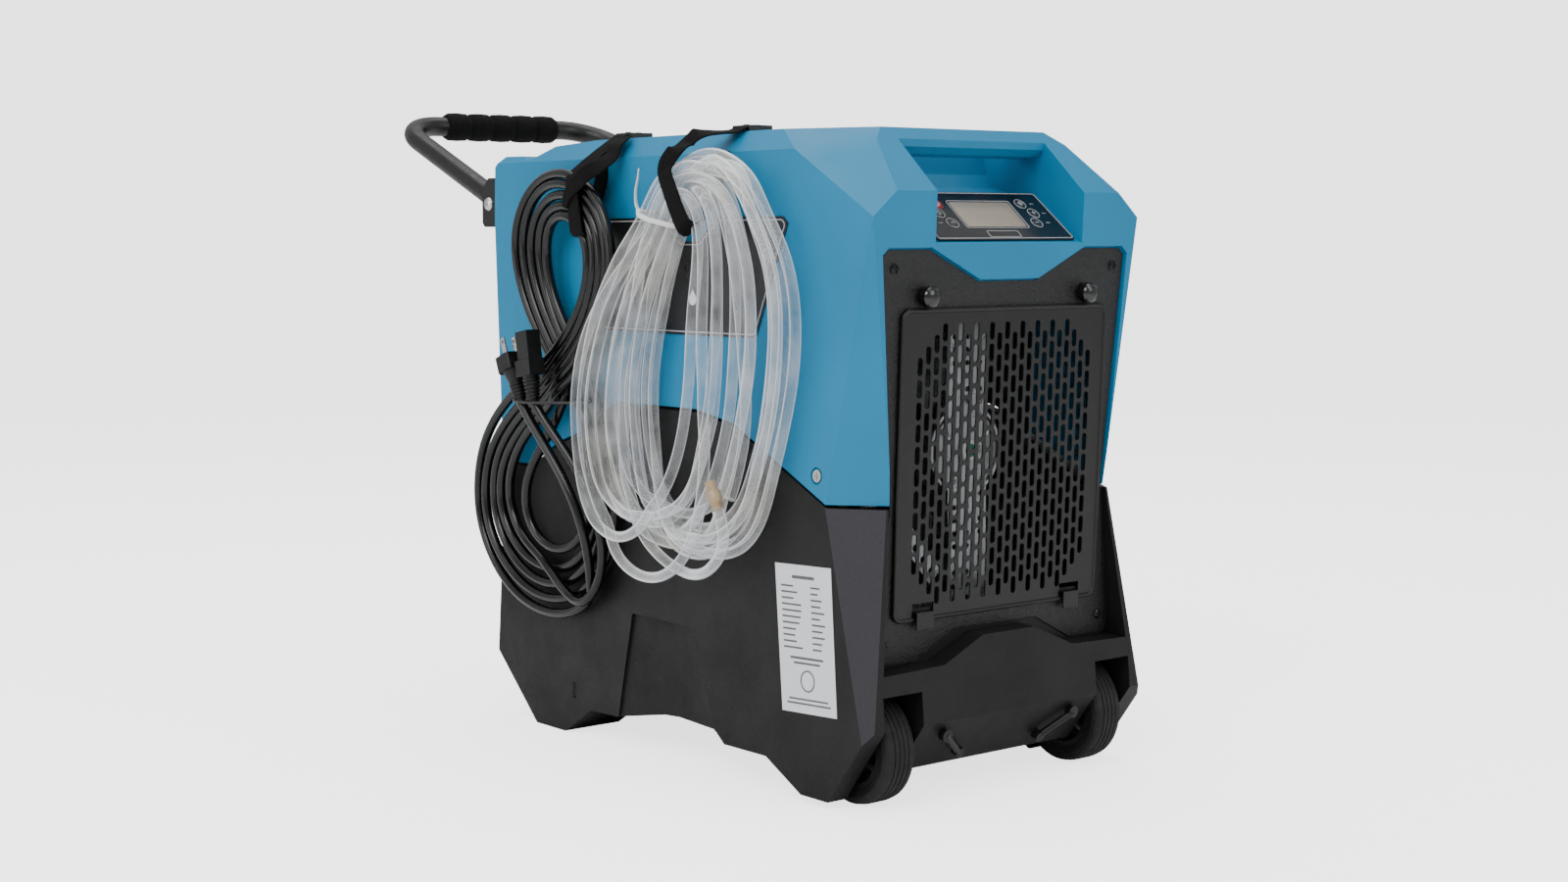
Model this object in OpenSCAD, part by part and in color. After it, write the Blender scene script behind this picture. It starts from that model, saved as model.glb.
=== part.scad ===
// Portable wheeled dehumidifier: a moulded upper shell on a moulded base with two front
// wheels, a folding U-handle at the back, a perforated inlet grille and a sloped control
// panel at the front, and a power cord and a drain hose strapped to one side.
// Front faces -Y, the handle is at +Y, the cord side is -X, +Z is up.

/* [Housing] */
// Half width of the housing at floor level
half_w = 174; // [172:0.5:176]
// Inward lean of each side per millimetre of height
taper = 0.0234; // [0.0230:0.0001:0.0238]
// Height of the flat top above the floor
top_z = 590; // [588:0.5:592]
// Wall thickness of the upper shell
wall = 5; // [4:0.5:6]
// Forward lean of the front face in degrees
lean = 2.635; // [2.6:0.005:2.67]

/* [Wheels and feet] */
// Wheel diameter
wheel_d = 100; // [98:1:101]
// Tyre width
tyre_w = 34; // [30:1:36]
// Distance from the housing centre line to the middle of each wheel
wheel_x = 130; // [129:0.5:131]
// Axle radius
axle_r = 5; // [4:0.5:6]
// Radial running clearance of the turning joints
run_fit = 0.05; // [0.02:0.01:0.09]

/* [Handle] */
// Handle tube radius
tube_r = 11; // [10:0.5:11]
// Distance from the centre line to each handle arm
arm_x = 134; // [133.5:0.25:134.5]
// Length of the arms from the pivot to the cross tube
arm_len = 236; // [200:1:260]
// Rise of the arms above level when resting on the stops, in degrees
arm_rise = 22.7; // [22.6:0.1:24]
// Radius of the foam grip
grip_r = 16; // [14:0.5:18]
// Length of the foam grip
grip_len = 146; // [120:1:156]

/* [Grille] */
// Width of the inlet grille
grille_w = 248; // [244:1:250]
// Height of the inlet grille
grille_h = 269; // [267:1:270]
// Width of each slot
slot_w = 5.8; // [4:0.1:6.2]
// Length of each slot
slot_l = 15.8; // [12:0.1:16.2]
// Spacing of the slot columns
slot_px = 9.4; // [9:0.05:9.45]
// Spacing of the slots in a column
slot_pz = 19.2; // [18.5:0.1:19.5]

/* [Controls] */
// Slope of the control panel in degrees
panel_slope = 39.7; // [39.5:0.1:40]
// Radius of each push button
button_r = 4.6; // [3.5:0.1:5]
// Travel of each push button
button_travel = 0.5; // [0.3:0.05:0.6]

/* [Hidden] */
$fn = 48;
blue = [0.13, 0.55, 0.72];
black = [0.09, 0.09, 0.095];
// the origin is at the middle of the bounding box on the floor
off_x = 19.992;
off_y = -399.265;
e = 0.01;
core = [0, 250, 400];
// plan position and height of the wheel axle
axle_y = 22;
axle_z = wheel_d / 2;
// handle pivot
piv = [598, 530];
// front line of the shell: y at height z, before the lean of the panels is added
function yf(z) = -z * tan(lean) - 3;
// unit normal of the plane through three points, turned away from the core
function nrm(a, b, c) = let (v = cross(b - a, c - a), u = v / norm(v)) (u * (a - core) > 0 ? u : -u);
function mx(p) = [-p[0], p[1], p[2]];

module slab(p, n, o = 0) translate(p - n * o) rotate([0, acos(n[2]), atan2(n[1], n[0])]) translate([-500, -500, 0]) cube([1000, 1000, 500]);
module yz(pts, x0, x1) translate([x0, 0, 0]) rotate([90, 0, 90]) linear_extrude(x1 - x0) polygon(pts);
module xz(pts, y0, y1) translate([0, y1, 0]) rotate([90, 0, 0]) linear_extrude(y1 - y0) polygon(pts);
module xy(pts, z0, z1) translate([0, 0, z0]) linear_extrude(z1 - z0) polygon(pts);
module box(a, b) translate(a) cube(b - a);
module both() { children(); mirror([1, 0, 0]) children(); }
module place() translate([off_x, off_y, 0]) children();
// local frames: the leaning front face, the tapered left side, the sloped control panel
module front() rotate([lean, 0, 0]) children();
module side() translate([-half_w, 0, 0]) rotate([0, atan(taper), 0]) children();
module panel() translate([0, -22.6, 492]) rotate([panel_slope, 0, 0]) children();
// cylinders along X and Y
module cx(r, x0, x1, y, z) translate([x0, y, z]) rotate([0, 90, 0]) cylinder(r = r, h = x1 - x0);
module cy(r, x, y0, y1, z) translate([x, y0, z]) rotate([-90, 0, 0]) cylinder(r = r, h = y1 - y0);

// ---- outer form ----
function hw(z) = half_w - taper * z;
function trunk(o, zt) = [[-(half_w - o), 0], [half_w - o, 0], [hw(571) - o, 571], [hw(571) - 17 - o, zt], [-(hw(571) - 17 - o), zt], [-(hw(571) - o), 571]];
// facet planes of the left front and left rear corners
fA = [-160.7, 78.6, 571]; fB = [-130, 22, 571]; fT = [-100, 34, 590];
fC = [-136, -27.5, 533.5]; fD = [-162, -26.6, 511.5];
fE = [-131, -15.2, 265]; fF = [-167.9, 29.5, 265];
rD = [-162, 568, 511]; rE = [-146, 567, 265]; rF = [-167.9, 549, 265];
facets = [[fA, nrm(fA, fC, fD)], [fA, nrm(fA, fB, fT)], [fD, nrm(fD, fE, fF)], [rD, nrm(rD, rE, rF)]];
seam = [[567, 265], [500, 265], [440, 293], [403, 305], [345, 337], [218, 337], [159, 327], [29.5, 265]];
upper_yz = concat([[yf(265), 265], [yf(533.5), 533.5], [34.6, top_z], [405, top_z], [474, 586], [490, 579], [506, 572], [523, 577.5], [556, 578], [568, 567], [568, 500]], seam);
cavity_yz = [[yf(255) + 9, 255], [yf(531) + 9, 531], [yf(531) + 9, 533.8], [37.8, top_z - wall], [400, top_z - wall], [472, 580], [488, 573.5], [506, 566], [520, 571.5], [553, 572.5], [562, 564], [562, 500], [561, 255]];
recess_yz = [[-60, 450], [-24.2, 489.5], [-22.6 + 2.2 * sin(panel_slope), 492 - 2.2 * cos(panel_slope)], [-22.6 + 66 * cos(panel_slope) + 1.4, 492 + 66 * sin(panel_slope) - 1.7], [36, 533.5], [72, 535], [88, 540], [99, 552], [104, 568], [106, 620], [-60, 620]];
recess_out_yz = [[-60, 440], [-19, 481], [-17, 484.5], [33, 526.5], [75, 529], [93, 536], [105, 549], [110, 567], [112, 620], [-60, 620]];
bar_yz = [[23, 579.5], [34.6, top_z], [60, top_z], [63, 586], [62, 574], [56, 567.5], [44, 565], [32, 567], [24, 573]];
panel_xz = [[35, 456], [94, 484], [142, 484], [148, 478], [130, 262], [146, 130], [143, 125], [97, 125], [51, 149], [-51, 149], [-97, 125], [-143, 125], [-146, 130], [-130, 262], [-148, 478], [-142, 484], [-94, 484], [-35, 456]];
panel_gap = [[36, 458], [94, 486], [143, 486], [150, 479.5], [132, 262], [-132, 262], [-150, 479.5], [-143, 486], [-94, 486], [-36, 458]];

module inlet_hole() front() box([-113, -30, 166], [113, 40, 432]);
module upper_housing() color(blue) place() difference() {
  union() {
    difference() {
      intersection() { xz(trunk(0, top_z), -60, 600); yz(upper_yz, -200, 200); }
      for (f = facets) { slab(f[0], f[1]); slab(mx(f[0]), mx(f[1])); }
      yz(recess_yz, -90, 90);
      difference() {
        intersection() { xz(trunk(wall, top_z - wall), -60, 600); yz(cavity_yz, -200, 200); }
        for (f = facets) { slab(f[0], f[1], wall); slab(mx(f[0]), mx(f[1]), wall); }
        yz(recess_out_yz, -95, 95);
      }
    }
    yz(bar_yz, -92, 92);
  }
  // pocket and opening for the front panel
  front() xz([for (p = panel_gap) p], -40, 1.6);
  inlet_hole();
  front() both() { cy(2, 134, 0, 20, 468); cy(3.4, 97.5, 0, 20, 444); }
  // outlet opening in the back
  box([-104, 550, 336], [104, 590, 484]);
  both() for (z = [344, 476]) cy(1.7, 112, 555, 575, z);
  // recessed screw pockets low on both sides
  both() side() for (p = [[42, 289], [525, 290]]) { cx(7.5, -6, 2.5, p[0], p[1]); cx(2.1, -6, 12, p[0], p[1]); }
  // strap anchor screw holes
  for (y = [176, 362]) for (x = [-137, -125]) translate([x, y, 570]) cylinder(r = 1.6, h = 40);
}

base_yz = [[-15.2, 262], [-31.5, 74], [20, 6.5], [57, 6.5], [107, 32], [168, 32], [181, 42], [276, 40], [338, 29.5], [385, 28], [430, 0], [482, 0], [558, 67], [560, 262], [500, 262], [440, 290], [403, 302], [345, 334], [218, 334], [159, 324], [28.5, 262]];
gE = [-137, -15.2, 262]; gF = [-167.9, 30, 262]; gG = [-172.2, -18.6, 81];
hE = [-148, 560, 262]; hF = [-167.9, 545, 262]; hG = [-172, 556, 70];
base_facets = [[gE, nrm(gE, gF, gG)], [hE, nrm(hE, hF, hG)]];
hump_xz = [[-151, 122], [-80, 124], [-32, 145], [32, 145], [80, 124], [151, 122], [133, 275], [-133, 275]];
rec_yz = [[315, 134], [222, 134], [183, 45], [181, 20], [342, 20], [336, 33]];
module lower_housing() color(black) place() difference() {
  union() {
    difference() {
      intersection() { xz(trunk(0, top_z), -60, 600); yz(base_yz, -200, 200); }
      for (f = base_facets) { slab(f[0], f[1]); slab(mx(f[0]), mx(f[1])); }
      box([-156, 90, 47], [156, 520, 400]);
      box([-152, 500, 90], [152, 548, 400]);
      box([-152, 10, 112], [152, 100, 400]);
    }
    // lip that locates the upper shell
    both() box([150, 60, 240], [157.5, 500, 270]);
    both() box([152, 225, 300], [157.5, 340, 343]);
  }
  // recess for the front panel and opening behind the grille
  front() xz(hump_xz, -60, 1.6);
  inlet_hole();
  front() both() cy(2, 134, 0, 20, 142.4);
  // side recesses
  both() intersection() {
    yz(rec_yz, -200, 200);
    xy([[-200, 150], [-200, 370], [-172, 345], [-158, 256], [-172, 170]], 10, 140);
  }
  // wheel wells
  both() { cx(54, 108, 153, axle_y, axle_z); box([108, -80, -20], [153, axle_y, 103]); }
  // open underside between the wheels and between the rear feet
  box([-108, -80, -10], [108, 620, 27]);
  cx(axle_r + run_fit, -165, 165, axle_y, axle_z);
  // small notches above the rear feet
  both() translate([-175, 414, 44]) rotate([0, 0, 45]) cube([8, 8, 16], center = true);
  // power inlet and drain outlet openings
  box([-104, 540, 186], [-76, 580, 206]);
  cy(7, 110, 512, 580, 92);
}

module front_panel() color([0.06, 0.06, 0.06]) place() front() difference() {
  xz(panel_xz, 0, 1.5);
  box([-108, -5, 172], [108, 5, 426]);
  both() { cy(2.4, 134, -5, 5, 468); cy(2.4, 134, -5, 5, 142.4); cy(3 + run_fit, 97.5, -5, 5, 444); }
}
gz0 = 163; gzc = gz0 + grille_h / 2;
// staggered field of slots with cut corners
ncol = 11; // columns each side of the centre
slots = [for (i = [-ncol:ncol]) let (odd = abs(i) % 2, n = odd ? 13 : 12) for (j = [0:n]) let (z = (j - n / 2) * slot_pz, x = i * slot_px) if (abs(z) + abs(x) * 1.9 < 290 && abs(z) < 122) [x, z]];
module slot2d(p) translate(p) { square([slot_w, slot_l - slot_w], center = true); for (s = [-1, 1]) translate([0, s * (slot_l - slot_w) / 2]) circle(r = slot_w / 2, $fn = 24); }
module inlet_grille() color([0.05, 0.05, 0.05]) place() front() translate([0, -1.5, 0]) rotate([90, 0, 0]) linear_extrude(1.5) difference() {
  translate([-grille_w / 2 + 2, gz0 + 2]) square([grille_w - 4, grille_h - 4]);
  for (s = slots) translate([0, gzc]) slot2d(s);
  for (x = [-91, 91]) translate([x - 12.5, gz0 - 1]) square([25, 15]);
}
module rod(a, b, r) translate(a) rotate([0, acos((b - a)[2] / norm(b - a)), atan2((b - a)[1], (b - a)[0])]) cylinder(r = r, h = norm(b - a));
module grille_rim() color([0.05, 0.05, 0.05]) place() front() difference() {
  union() {
    r = 2; x = grille_w / 2 - 8; z0 = gz0 + 8; z1 = gz0 + grille_h - 8; y = -2.25;
    for (s = [-1, 1]) { translate([s * (x + 8), y, z0]) cylinder(r = r, h = z1 - z0); }
    for (z = [gz0, gz0 + grille_h]) cx(r, -x, x, y, z);
    for (c = [[x, z0, -90], [x, z1, 0], [-x, z1, 90], [-x, z0, 180]]) translate([c[0], y, c[1]]) rotate([90, 0, 0]) rotate([0, 0, c[2]]) rotate_extrude(angle = 90) translate([8, 0]) circle(r = r);
  }
  // groove that grips the plate
  box([-grille_w / 2 + 1.9, -3.1, gz0 + 1.9], [grille_w / 2 - 1.9, -1.4, gz0 + grille_h - 1.9]);
}
module grille_clips() color([0.07, 0.07, 0.07]) place() front() for (x = [-91, 91]) {
  box([x - 10, -7, 168], [x + 10, 0, 169.6]);
  box([x - 10, -7, 154], [x + 10, -5.4, 168 + e]);
}
module screw_y(x, z, r, rs, len) { difference() { translate([x, 0, z]) rotate([90, 0, 0]) { cylinder(r = r, h = 1); translate([0, 0, 1 - e]) cylinder(r1 = r, r2 = r * 0.6, h = 1.4); } box([x - 3, -3, z - 0.5], [x + 3, -1.6, z + 0.5]); box([x - 0.5, -3, z - 3], [x + 0.5, -1.6, z + 3]); } cy(rs, x, -e, len, z); }
module panel_screws() color([0.1, 0.1, 0.1]) place() front() { for (x = [-134, 134]) for (z = [142.4, 468]) screw_y(x, z, 4.5, 1.95, 14); }
module housing_screws() color([0.75, 0.75, 0.72]) place() both() side() for (p = [[42, 289], [525, 290]]) difference() {
  union() { cx(5.5, 0.2, 2.5, p[0], p[1]); cx(1.95, 2.4, 11, p[0], p[1]); }
  box([-2, p[0] - 3.2, p[1] - 0.6], [1.4, p[0] + 3.2, p[1] + 0.6]); box([-2, p[0] - 0.6, p[1] - 3.2], [1.4, p[0] + 0.6, p[1] + 3.2]);
}
module thumbscrew(s) color([0.04, 0.04, 0.04]) place() front() translate([s * 97.5, 0, 444]) rotate([90, 0, 0]) {
  translate([0, 0, 0.3]) cylinder(r = 7, h = 2.2);
  translate([0, 0, 2.5 - e]) rotate_extrude() polygon([[0, 0], [9, 0], [9.3, 1.2], [9.3, 6.5], [8.4, 8.2], [6.5, 9.4], [3.5, 10.1], [0, 10.3]]);
  translate([0, 0, -10]) cylinder(r = 3, h = 10.4);
}
module thumbscrew_left() thumbscrew(-1);
module thumbscrew_right() thumbscrew(1);

button_at = [[-52, 48.5], [-58.5, 36], [-51.5, 22.5], [51.5, 49.5], [58.5, 36.3], [52.5, 22.8]];
module control_bezel() color([0.05, 0.05, 0.055]) place() panel() difference() {
  translate([0, 0, -2]) linear_extrude(2) polygon([[-84.5, 2], [-82.5, 0], [82.5, 0], [84.5, 2], [81, 63], [78.5, 65.5], [-78.5, 65.5], [-81, 63]]);
  translate([-39.2, 15.3, -1.2]) cube([78.4, 38.4, 3]);
  for (b = button_at) translate([b[0], b[1], -3]) cylinder(r = button_r + 0.2, h = 6);
}
module lcd_window() color([0.55, 0.55, 0.48]) place() panel() translate([-38.8, 15.7, -1.2]) cube([77.6, 37.6, 1.1]);
module button(i, c) color(c) place() panel() translate([button_at[i][0], button_at[i][1], -1.4]) rotate_extrude() polygon([[0, 0], [button_r, 0], [button_r, 1.5], [button_r - 0.5, 1.9], [0, 2.1]]);
module button_power() button(0, [0.75, 0.1, 0.08]);
module button_left_upper() button(1, [0.08, 0.08, 0.08]);
module button_left_lower() button(2, [0.08, 0.08, 0.08]);
module button_right_top() button(3, [0.08, 0.08, 0.08]);
module button_right_upper() button(4, [0.08, 0.08, 0.08]);
module button_right_lower() button(5, [0.08, 0.08, 0.08]);

// ---- wheels ----
module axle() color([0.6, 0.6, 0.6]) place() difference() { cx(axle_r, -152.4, 152.4, axle_y, axle_z); both() for (r = [0]) translate([150.7, axle_y, axle_z]) rotate([0, 90, 0]) difference() { cylinder(r = 8, h = 0.9); cylinder(r = axle_r - 0.6, h = 0.9); } }
module axle_washers() color([0.7, 0.7, 0.7]) place() both() difference() { cx(9, 148.4, 149.8, axle_y, axle_z); cx(axle_r, 140, 160, axle_y, axle_z); }
module axle_braces() color([0.1, 0.1, 0.1]) place() both() {
  difference() { union() { rod([79, -29.5, 60], [50, -13, 39], 3.2); rod([79, -30.5, 60], [79, -24, 60.5], 5.5); rod([50, -16, 38], [50, -9, 41], 5); } yz([[-31.6, 74], [20, 6.5], [60, 20], [60, 90], [-31.6, 90]], 0, 120); }
}
module wheel_hub(s) color([0.08, 0.08, 0.08]) place() translate([s * wheel_x, axle_y, axle_z]) rotate([0, 90, 0]) difference() {
  union() {
    difference() { cylinder(r = wheel_d / 2 - 15, h = 28, center = true); cylinder(r = wheel_d / 2 - 19, h = 30, center = true); }
    cylinder(r = wheel_d / 2 - 16, h = 4, center = true);
    cylinder(r = 11, h = 35.4, center = true);
    for (a = [0:60:300]) rotate([0, 0, a]) translate([9, -2, -11]) cube([wheel_d / 2 - 26, 4, 22]);
  }
  cylinder(r = axle_r + run_fit, h = 60, center = true);
  for (a = [30:60:330]) rotate([0, 0, a]) translate([20, 0, 0]) cylinder(r = 5, h = 10, center = true);
}
module wheel_hub_left() wheel_hub(-1);
module wheel_hub_right() wheel_hub(1);
tR = wheel_d / 2; tW = tyre_w / 2;
module tyre(s) color([0.14, 0.14, 0.14]) place() translate([s * wheel_x, axle_y, axle_z]) rotate([0, 90, 0]) rotate_extrude($fn = 96) polygon([
  [tR - 15, -14], [tR - 7, -tW], [tR - 3, -tW + 0.8], [tR - 1, -tW + 3], [tR - 0.1, -9], [tR - 0.1, -8.4], [tR - 0.9, -8.2], [tR - 0.9, -7.4], [tR, -7.2], [tR, -3.2], [tR - 0.9, -3], [tR - 0.9, -2.2], [tR, -2], [tR, 2],
  [tR - 0.9, 2.2], [tR - 0.9, 3], [tR, 3.2], [tR, 7.2], [tR - 0.9, 7.4], [tR - 0.9, 8.2], [tR - 0.1, 8.4], [tR - 0.1, 9], [tR - 1, tW - 3], [tR - 3, tW - 0.8], [tR - 7, tW], [tR - 15, 14]]);
module tyre_left() tyre(-1);
module tyre_right() tyre(1);

// ---- handle ----
module arm_frame() translate([0, piv[0], piv[1]]) rotate([arm_rise, 0, 0]) children();
bend_r = 52;
module u_tube(r) {
  for (s = [-1, 1]) {
    translate([s * arm_x, 0, 0]) rotate([-90, 0, 0]) cylinder(r = r, h = arm_len - bend_r);
    translate([s * (arm_x - bend_r), arm_len - bend_r, 0]) rotate([0, 0, s > 0 ? 0 : 90]) rotate_extrude(angle = 90) translate([bend_r, 0]) circle(r = r);
  }
  translate([-arm_x + bend_r, arm_len, 0]) rotate([0, 90, 0]) cylinder(r = r, h = 2 * (arm_x - bend_r));
}
module handle_tube() color([0.07, 0.06, 0.06]) place() arm_frame() difference() {
  union() {
    u_tube(tube_r);
    for (s = [-1, 1]) translate([s * arm_x - 9, 0, 0]) rotate([0, 90, 0]) cylinder(r = tube_r, h = 18);
  }
  for (s = [-1, 1]) translate([s * arm_x - 20, 0, 0]) rotate([0, 90, 0]) cylinder(r = 4 + run_fit, h = 40);
}
gseg = grip_len / 5;
module handle_grip() color([0.03, 0.03, 0.03]) place() arm_frame() translate([-grip_len / 2, arm_len, 0]) rotate([0, 90, 0]) rotate_extrude() polygon(concat([[tube_r, 0]], [for (i = [0:4]) each [[grip_r - 3, i * gseg + (i == 0 ? 0 : 0.6)], [grip_r - 0.6, i * gseg + 4], [grip_r, i * gseg + gseg / 2], [grip_r - 0.6, (i + 1) * gseg - 4], [grip_r - 3, (i + 1) * gseg - (i == 4 ? 0 : 0.6)]]], [[tube_r, grip_len]]));
module handle_brackets() color([0.06, 0.06, 0.06]) place() both() difference() {
  union() {
    yz([[568.1, 506], [608, 506], [612, 510], [612, 545], [600, 557], [568.1, 557]], arm_x - 16, arm_x - 11.5);
    yz([[568.1, 506], [608, 506], [612, 510], [612, 545], [600, 557], [568.1, 557]], arm_x + 11.5, arm_x + 16);
    box([arm_x - 12, 568.1, 506], [arm_x + 12, 574, 557]);
    yz([[604, 506], [608, 506], [612, 510], [612, 520], [604.5, 518]], arm_x - 12, arm_x + 12);
  }
  cx(4, 100, 160, piv[0], piv[1]);
}
module handle_bolts() color([0.78, 0.78, 0.76]) place() both() {
  cx(4, arm_x - 16 - e, arm_x + 16 + e, piv[0], piv[1]);
  translate([arm_x + 16, piv[0], piv[1]]) rotate([0, 90, 0]) rotate_extrude() polygon([[0, 0], [7, 0], [7, 1], [6, 2.6], [3.6, 3.6], [0, 4]]);
  translate([arm_x - 16, piv[0], piv[1]]) rotate([0, -90, 0]) cylinder(r = 7, h = 5, $fn = 6);
}

// ---- straps ----
// closed outline of a band of thickness t that follows the points p
function dirn(p, i) = let (a = p[max(i - 1, 0)], b = p[min(i + 1, len(p) - 1)], v = b - a) v / norm(v);
function band(p, t) = concat([for (i = [0:len(p) - 1]) p[i] + t / 2 * [-dirn(p, i)[1], dirn(p, i)[0]]], [for (i = [len(p) - 1:-1:0]) p[i] - t / 2 * [-dirn(p, i)[1], dirn(p, i)[0]]]);
// strap loops in the XZ plane: from the anchor over the top edge, out round the bundle and back up the wall
hose_loop = [[-118, 592.3], [-143.5, 592.4], [-148.5, 589.4], [-158, 578.6], [-166, 573], [-182, 574], [-198, 570], [-208, 562], [-213, 549], [-213, 534], [-208, 522], [-198, 514], [-186, 511], [-175, 514], [-168, 522], [-164.8, 534], [-164, 546], [-163.4, 563]];
cord_loop = [[-118, 592.3], [-143.5, 592.4], [-148.5, 589.4], [-158, 578.6], [-166, 571], [-178, 571], [-190, 567], [-199, 559], [-202, 547], [-202, 535], [-198, 524], [-189, 517], [-180, 515.5], [-172, 519], [-166, 526], [-164.6, 536], [-164, 546], [-163.4, 560]];
module strap_hose() color([0.05, 0.05, 0.05]) place() xz(band(hose_loop, 2), 166, 186);
module strap_cord() color([0.05, 0.05, 0.05]) place() xz(band(cord_loop, 2), 351, 373);
module strap_anchors() color([0.08, 0.08, 0.08]) place() for (y = [176, 362]) {
  box([-143, y - 13, 593.6], [-117, y + 13, 595.5]);
  for (s = [-1, 1]) box([-143, y + s * 12 - 1, 590], [-117, y + s * 12 + 1, 594]);
  for (x = [-137, -125]) translate([x, y, 595.2]) cylinder(r = 3, h = 1.2);
}

// ---- cord and hose: outer shapes of the hank and the coil ----
module ring_x(o, i, x0, x1) difference() { yz(o, x0, x1); for (h = i) yz(h, x0 - 1, x1 + 1); }
hank_out = [[376, 560], [345, 558], [318, 545], [298, 515], [290, 480], [296, 435], [318, 395], [345, 360], [352, 330], [335, 290], [322, 250], [318, 205], [330, 160], [358, 125], [400, 106], [455, 100], [505, 108], [545, 130], [572, 160], [586, 200], [582, 240], [560, 280], [520, 315], [475, 345], [470, 360], [488, 400], [494, 440], [492, 490], [480, 525], [455, 548], [415, 560]];
hank_in = [[[394, 516], [362, 508], [346, 470], [350, 430], [374, 392], [404, 366], [432, 400], [442, 440], [440, 480], [422, 508]], [[432, 290], [385, 290], [362, 262], [358, 225], [380, 195], [425, 180], [470, 190], [495, 215], [490, 250], [465, 275]]];
module cord_hank() color([0.02, 0.02, 0.02]) place() ring_x(hank_out, hank_in, -199.5, -172.3);
coil_out = [[172, 571], [140, 568], [100, 552], [62, 516], [34, 470], [26, 425], [34, 365], [56, 300], [92, 234], [125, 196], [165, 178], [200, 164], [245, 158], [300, 165], [345, 190], [374, 232], [384, 285], [370, 350], [330, 420], [278, 495], [240, 540], [208, 566]];
coil_in = [[[190, 505], [166, 480], [160, 440], [160, 380], [182, 325], [216, 262], [236, 280], [245, 320], [244, 365], [228, 420], [208, 470]]];
module hose_coil() color([0.85, 0.87, 0.88]) place() ring_x(coil_out, coil_in, -211.5, -171);

// plug and connector lie on the outside of the hank, tails down
module cone_rod(a, b, r0, r1) translate(a) rotate([0, acos((b - a)[2] / norm(b - a)), atan2((b - a)[1], (b - a)[0])]) cylinder(r1 = r0, r2 = r1, h = norm(b - a));
// a piece's own frame: +Z points out of the mating face
module at(p, tilt, turn) translate(p) rotate([tilt, 0, 0]) rotate([0, 0, turn]) children();
plug_p = [-214, 452, 362]; plug_t = -22;
conn_p = [-214, 425, 378]; conn_t = -10;
module cord_plug() color([0.03, 0.03, 0.03]) place() at(plug_p, plug_t, 0) {
  translate([0, 0, 2]) linear_extrude(16) polygon([[-11, -13], [11, -13], [13, -8], [13, 8], [8, 13], [-8, 13], [-13, 8], [-13, -8]]);
  translate([0, 0, -10]) cylinder(r1 = 7.5, r2 = 11, h = 12.1);
  translate([0, 0, -30]) cylinder(r1 = 5, r2 = 7.2, h = 20.1);
}
module plug_blades() color([0.75, 0.72, 0.6]) place() at(plug_p, plug_t, 0) {
  for (x = [-6.35, 6.35]) difference() { translate([x - 0.75, -6, 18]) cube([1.5, 6.35, 17.5]); translate([x - 2, -2.8, 31.5]) rotate([0, 90, 0]) cylinder(r = 1.6, h = 4); }
  translate([0, 7.5, 18]) cylinder(r = 2.4, h = 18.5); translate([0, 7.5, 36.5]) sphere(r = 2.4);
}
module cord_connector() color([0.03, 0.03, 0.03]) place() at(conn_p, conn_t, 0) difference() {
  union() {
    translate([0, 0, -2]) linear_extrude(28) polygon([[-8, -12], [8, -12], [8, 8], [4.5, 12], [-4.5, 12], [-8, 8]]);
    translate([0, 0, -18]) linear_extrude(16.1) polygon([[-9, -13], [9, -13], [9, 13], [-9, 13]]);
    translate([0, 0, -44]) cylinder(r1 = 5, r2 = 8, h = 26.1);
  }
  for (p = [[0, 5], [3.6, -4], [-3.6, -4]]) translate([p[0] - 1, p[1] - 2.2, 8]) cube([2, 4.4, 20]);
}
module cord_tie() color([0.05, 0.05, 0.05]) place() difference() {
  translate([0, 0, 333.5]) linear_extrude(4) polygon([[-222.5, 470], [-222.5, 400], [-170.5, 397], [-170.5, 473]]);
  translate([0, 0, 330]) linear_extrude(10) polygon([[-221.2, 468.6], [-221.2, 401.4], [-171.8, 398.4], [-171.8, 471.6]]);
}
// zip tie round the narrow leg of the hose coil
module hose_tie() color([0.9, 0.9, 0.88]) place() translate([-191.2, 226, 510]) rotate([16, 0, 0]) difference() {
  union() { translate([-22.4, -33, -3]) cube([44.8, 66, 5.5]); translate([-25, 14, -4]) cube([4, 8, 8]); translate([-24, 17, 0]) cube([1.4, 3, 30]); }
  translate([-21.2, -31.8, -6]) cube([42.4, 63.6, 12]);
}
module hose_fitting() color([0.75, 0.7, 0.6]) place() translate([-218.6, 118, 262]) rotate([-24, 0, 0]) difference() {
  union() { cylinder(r = 6.4, h = 12); translate([0, 0, 12 - e]) cylinder(r = 5, h = 9); translate([0, 0, -6]) cylinder(r = 4.9, h = 6.1); }
  translate([0, 0, 4]) cylinder(r = 3, h = 30);
}

// ---- labels ----
module rating_label() color([0.93, 0.93, 0.93]) place() side() yz([[96.5, 208], [20.5, 211], [9, 82], [83, 78]], -0.6, -0.05);
plate_yz = [[416, 507], [409, 513], [268, 513], [240, 491], [214, 491], [186, 513], [92, 513], [85, 507], [108, 452], [128, 405], [372, 405], [390, 452]];
module side_plate() color([0.09, 0.09, 0.1]) place() side() yz(plate_yz, -1.2, -0.05);

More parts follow.
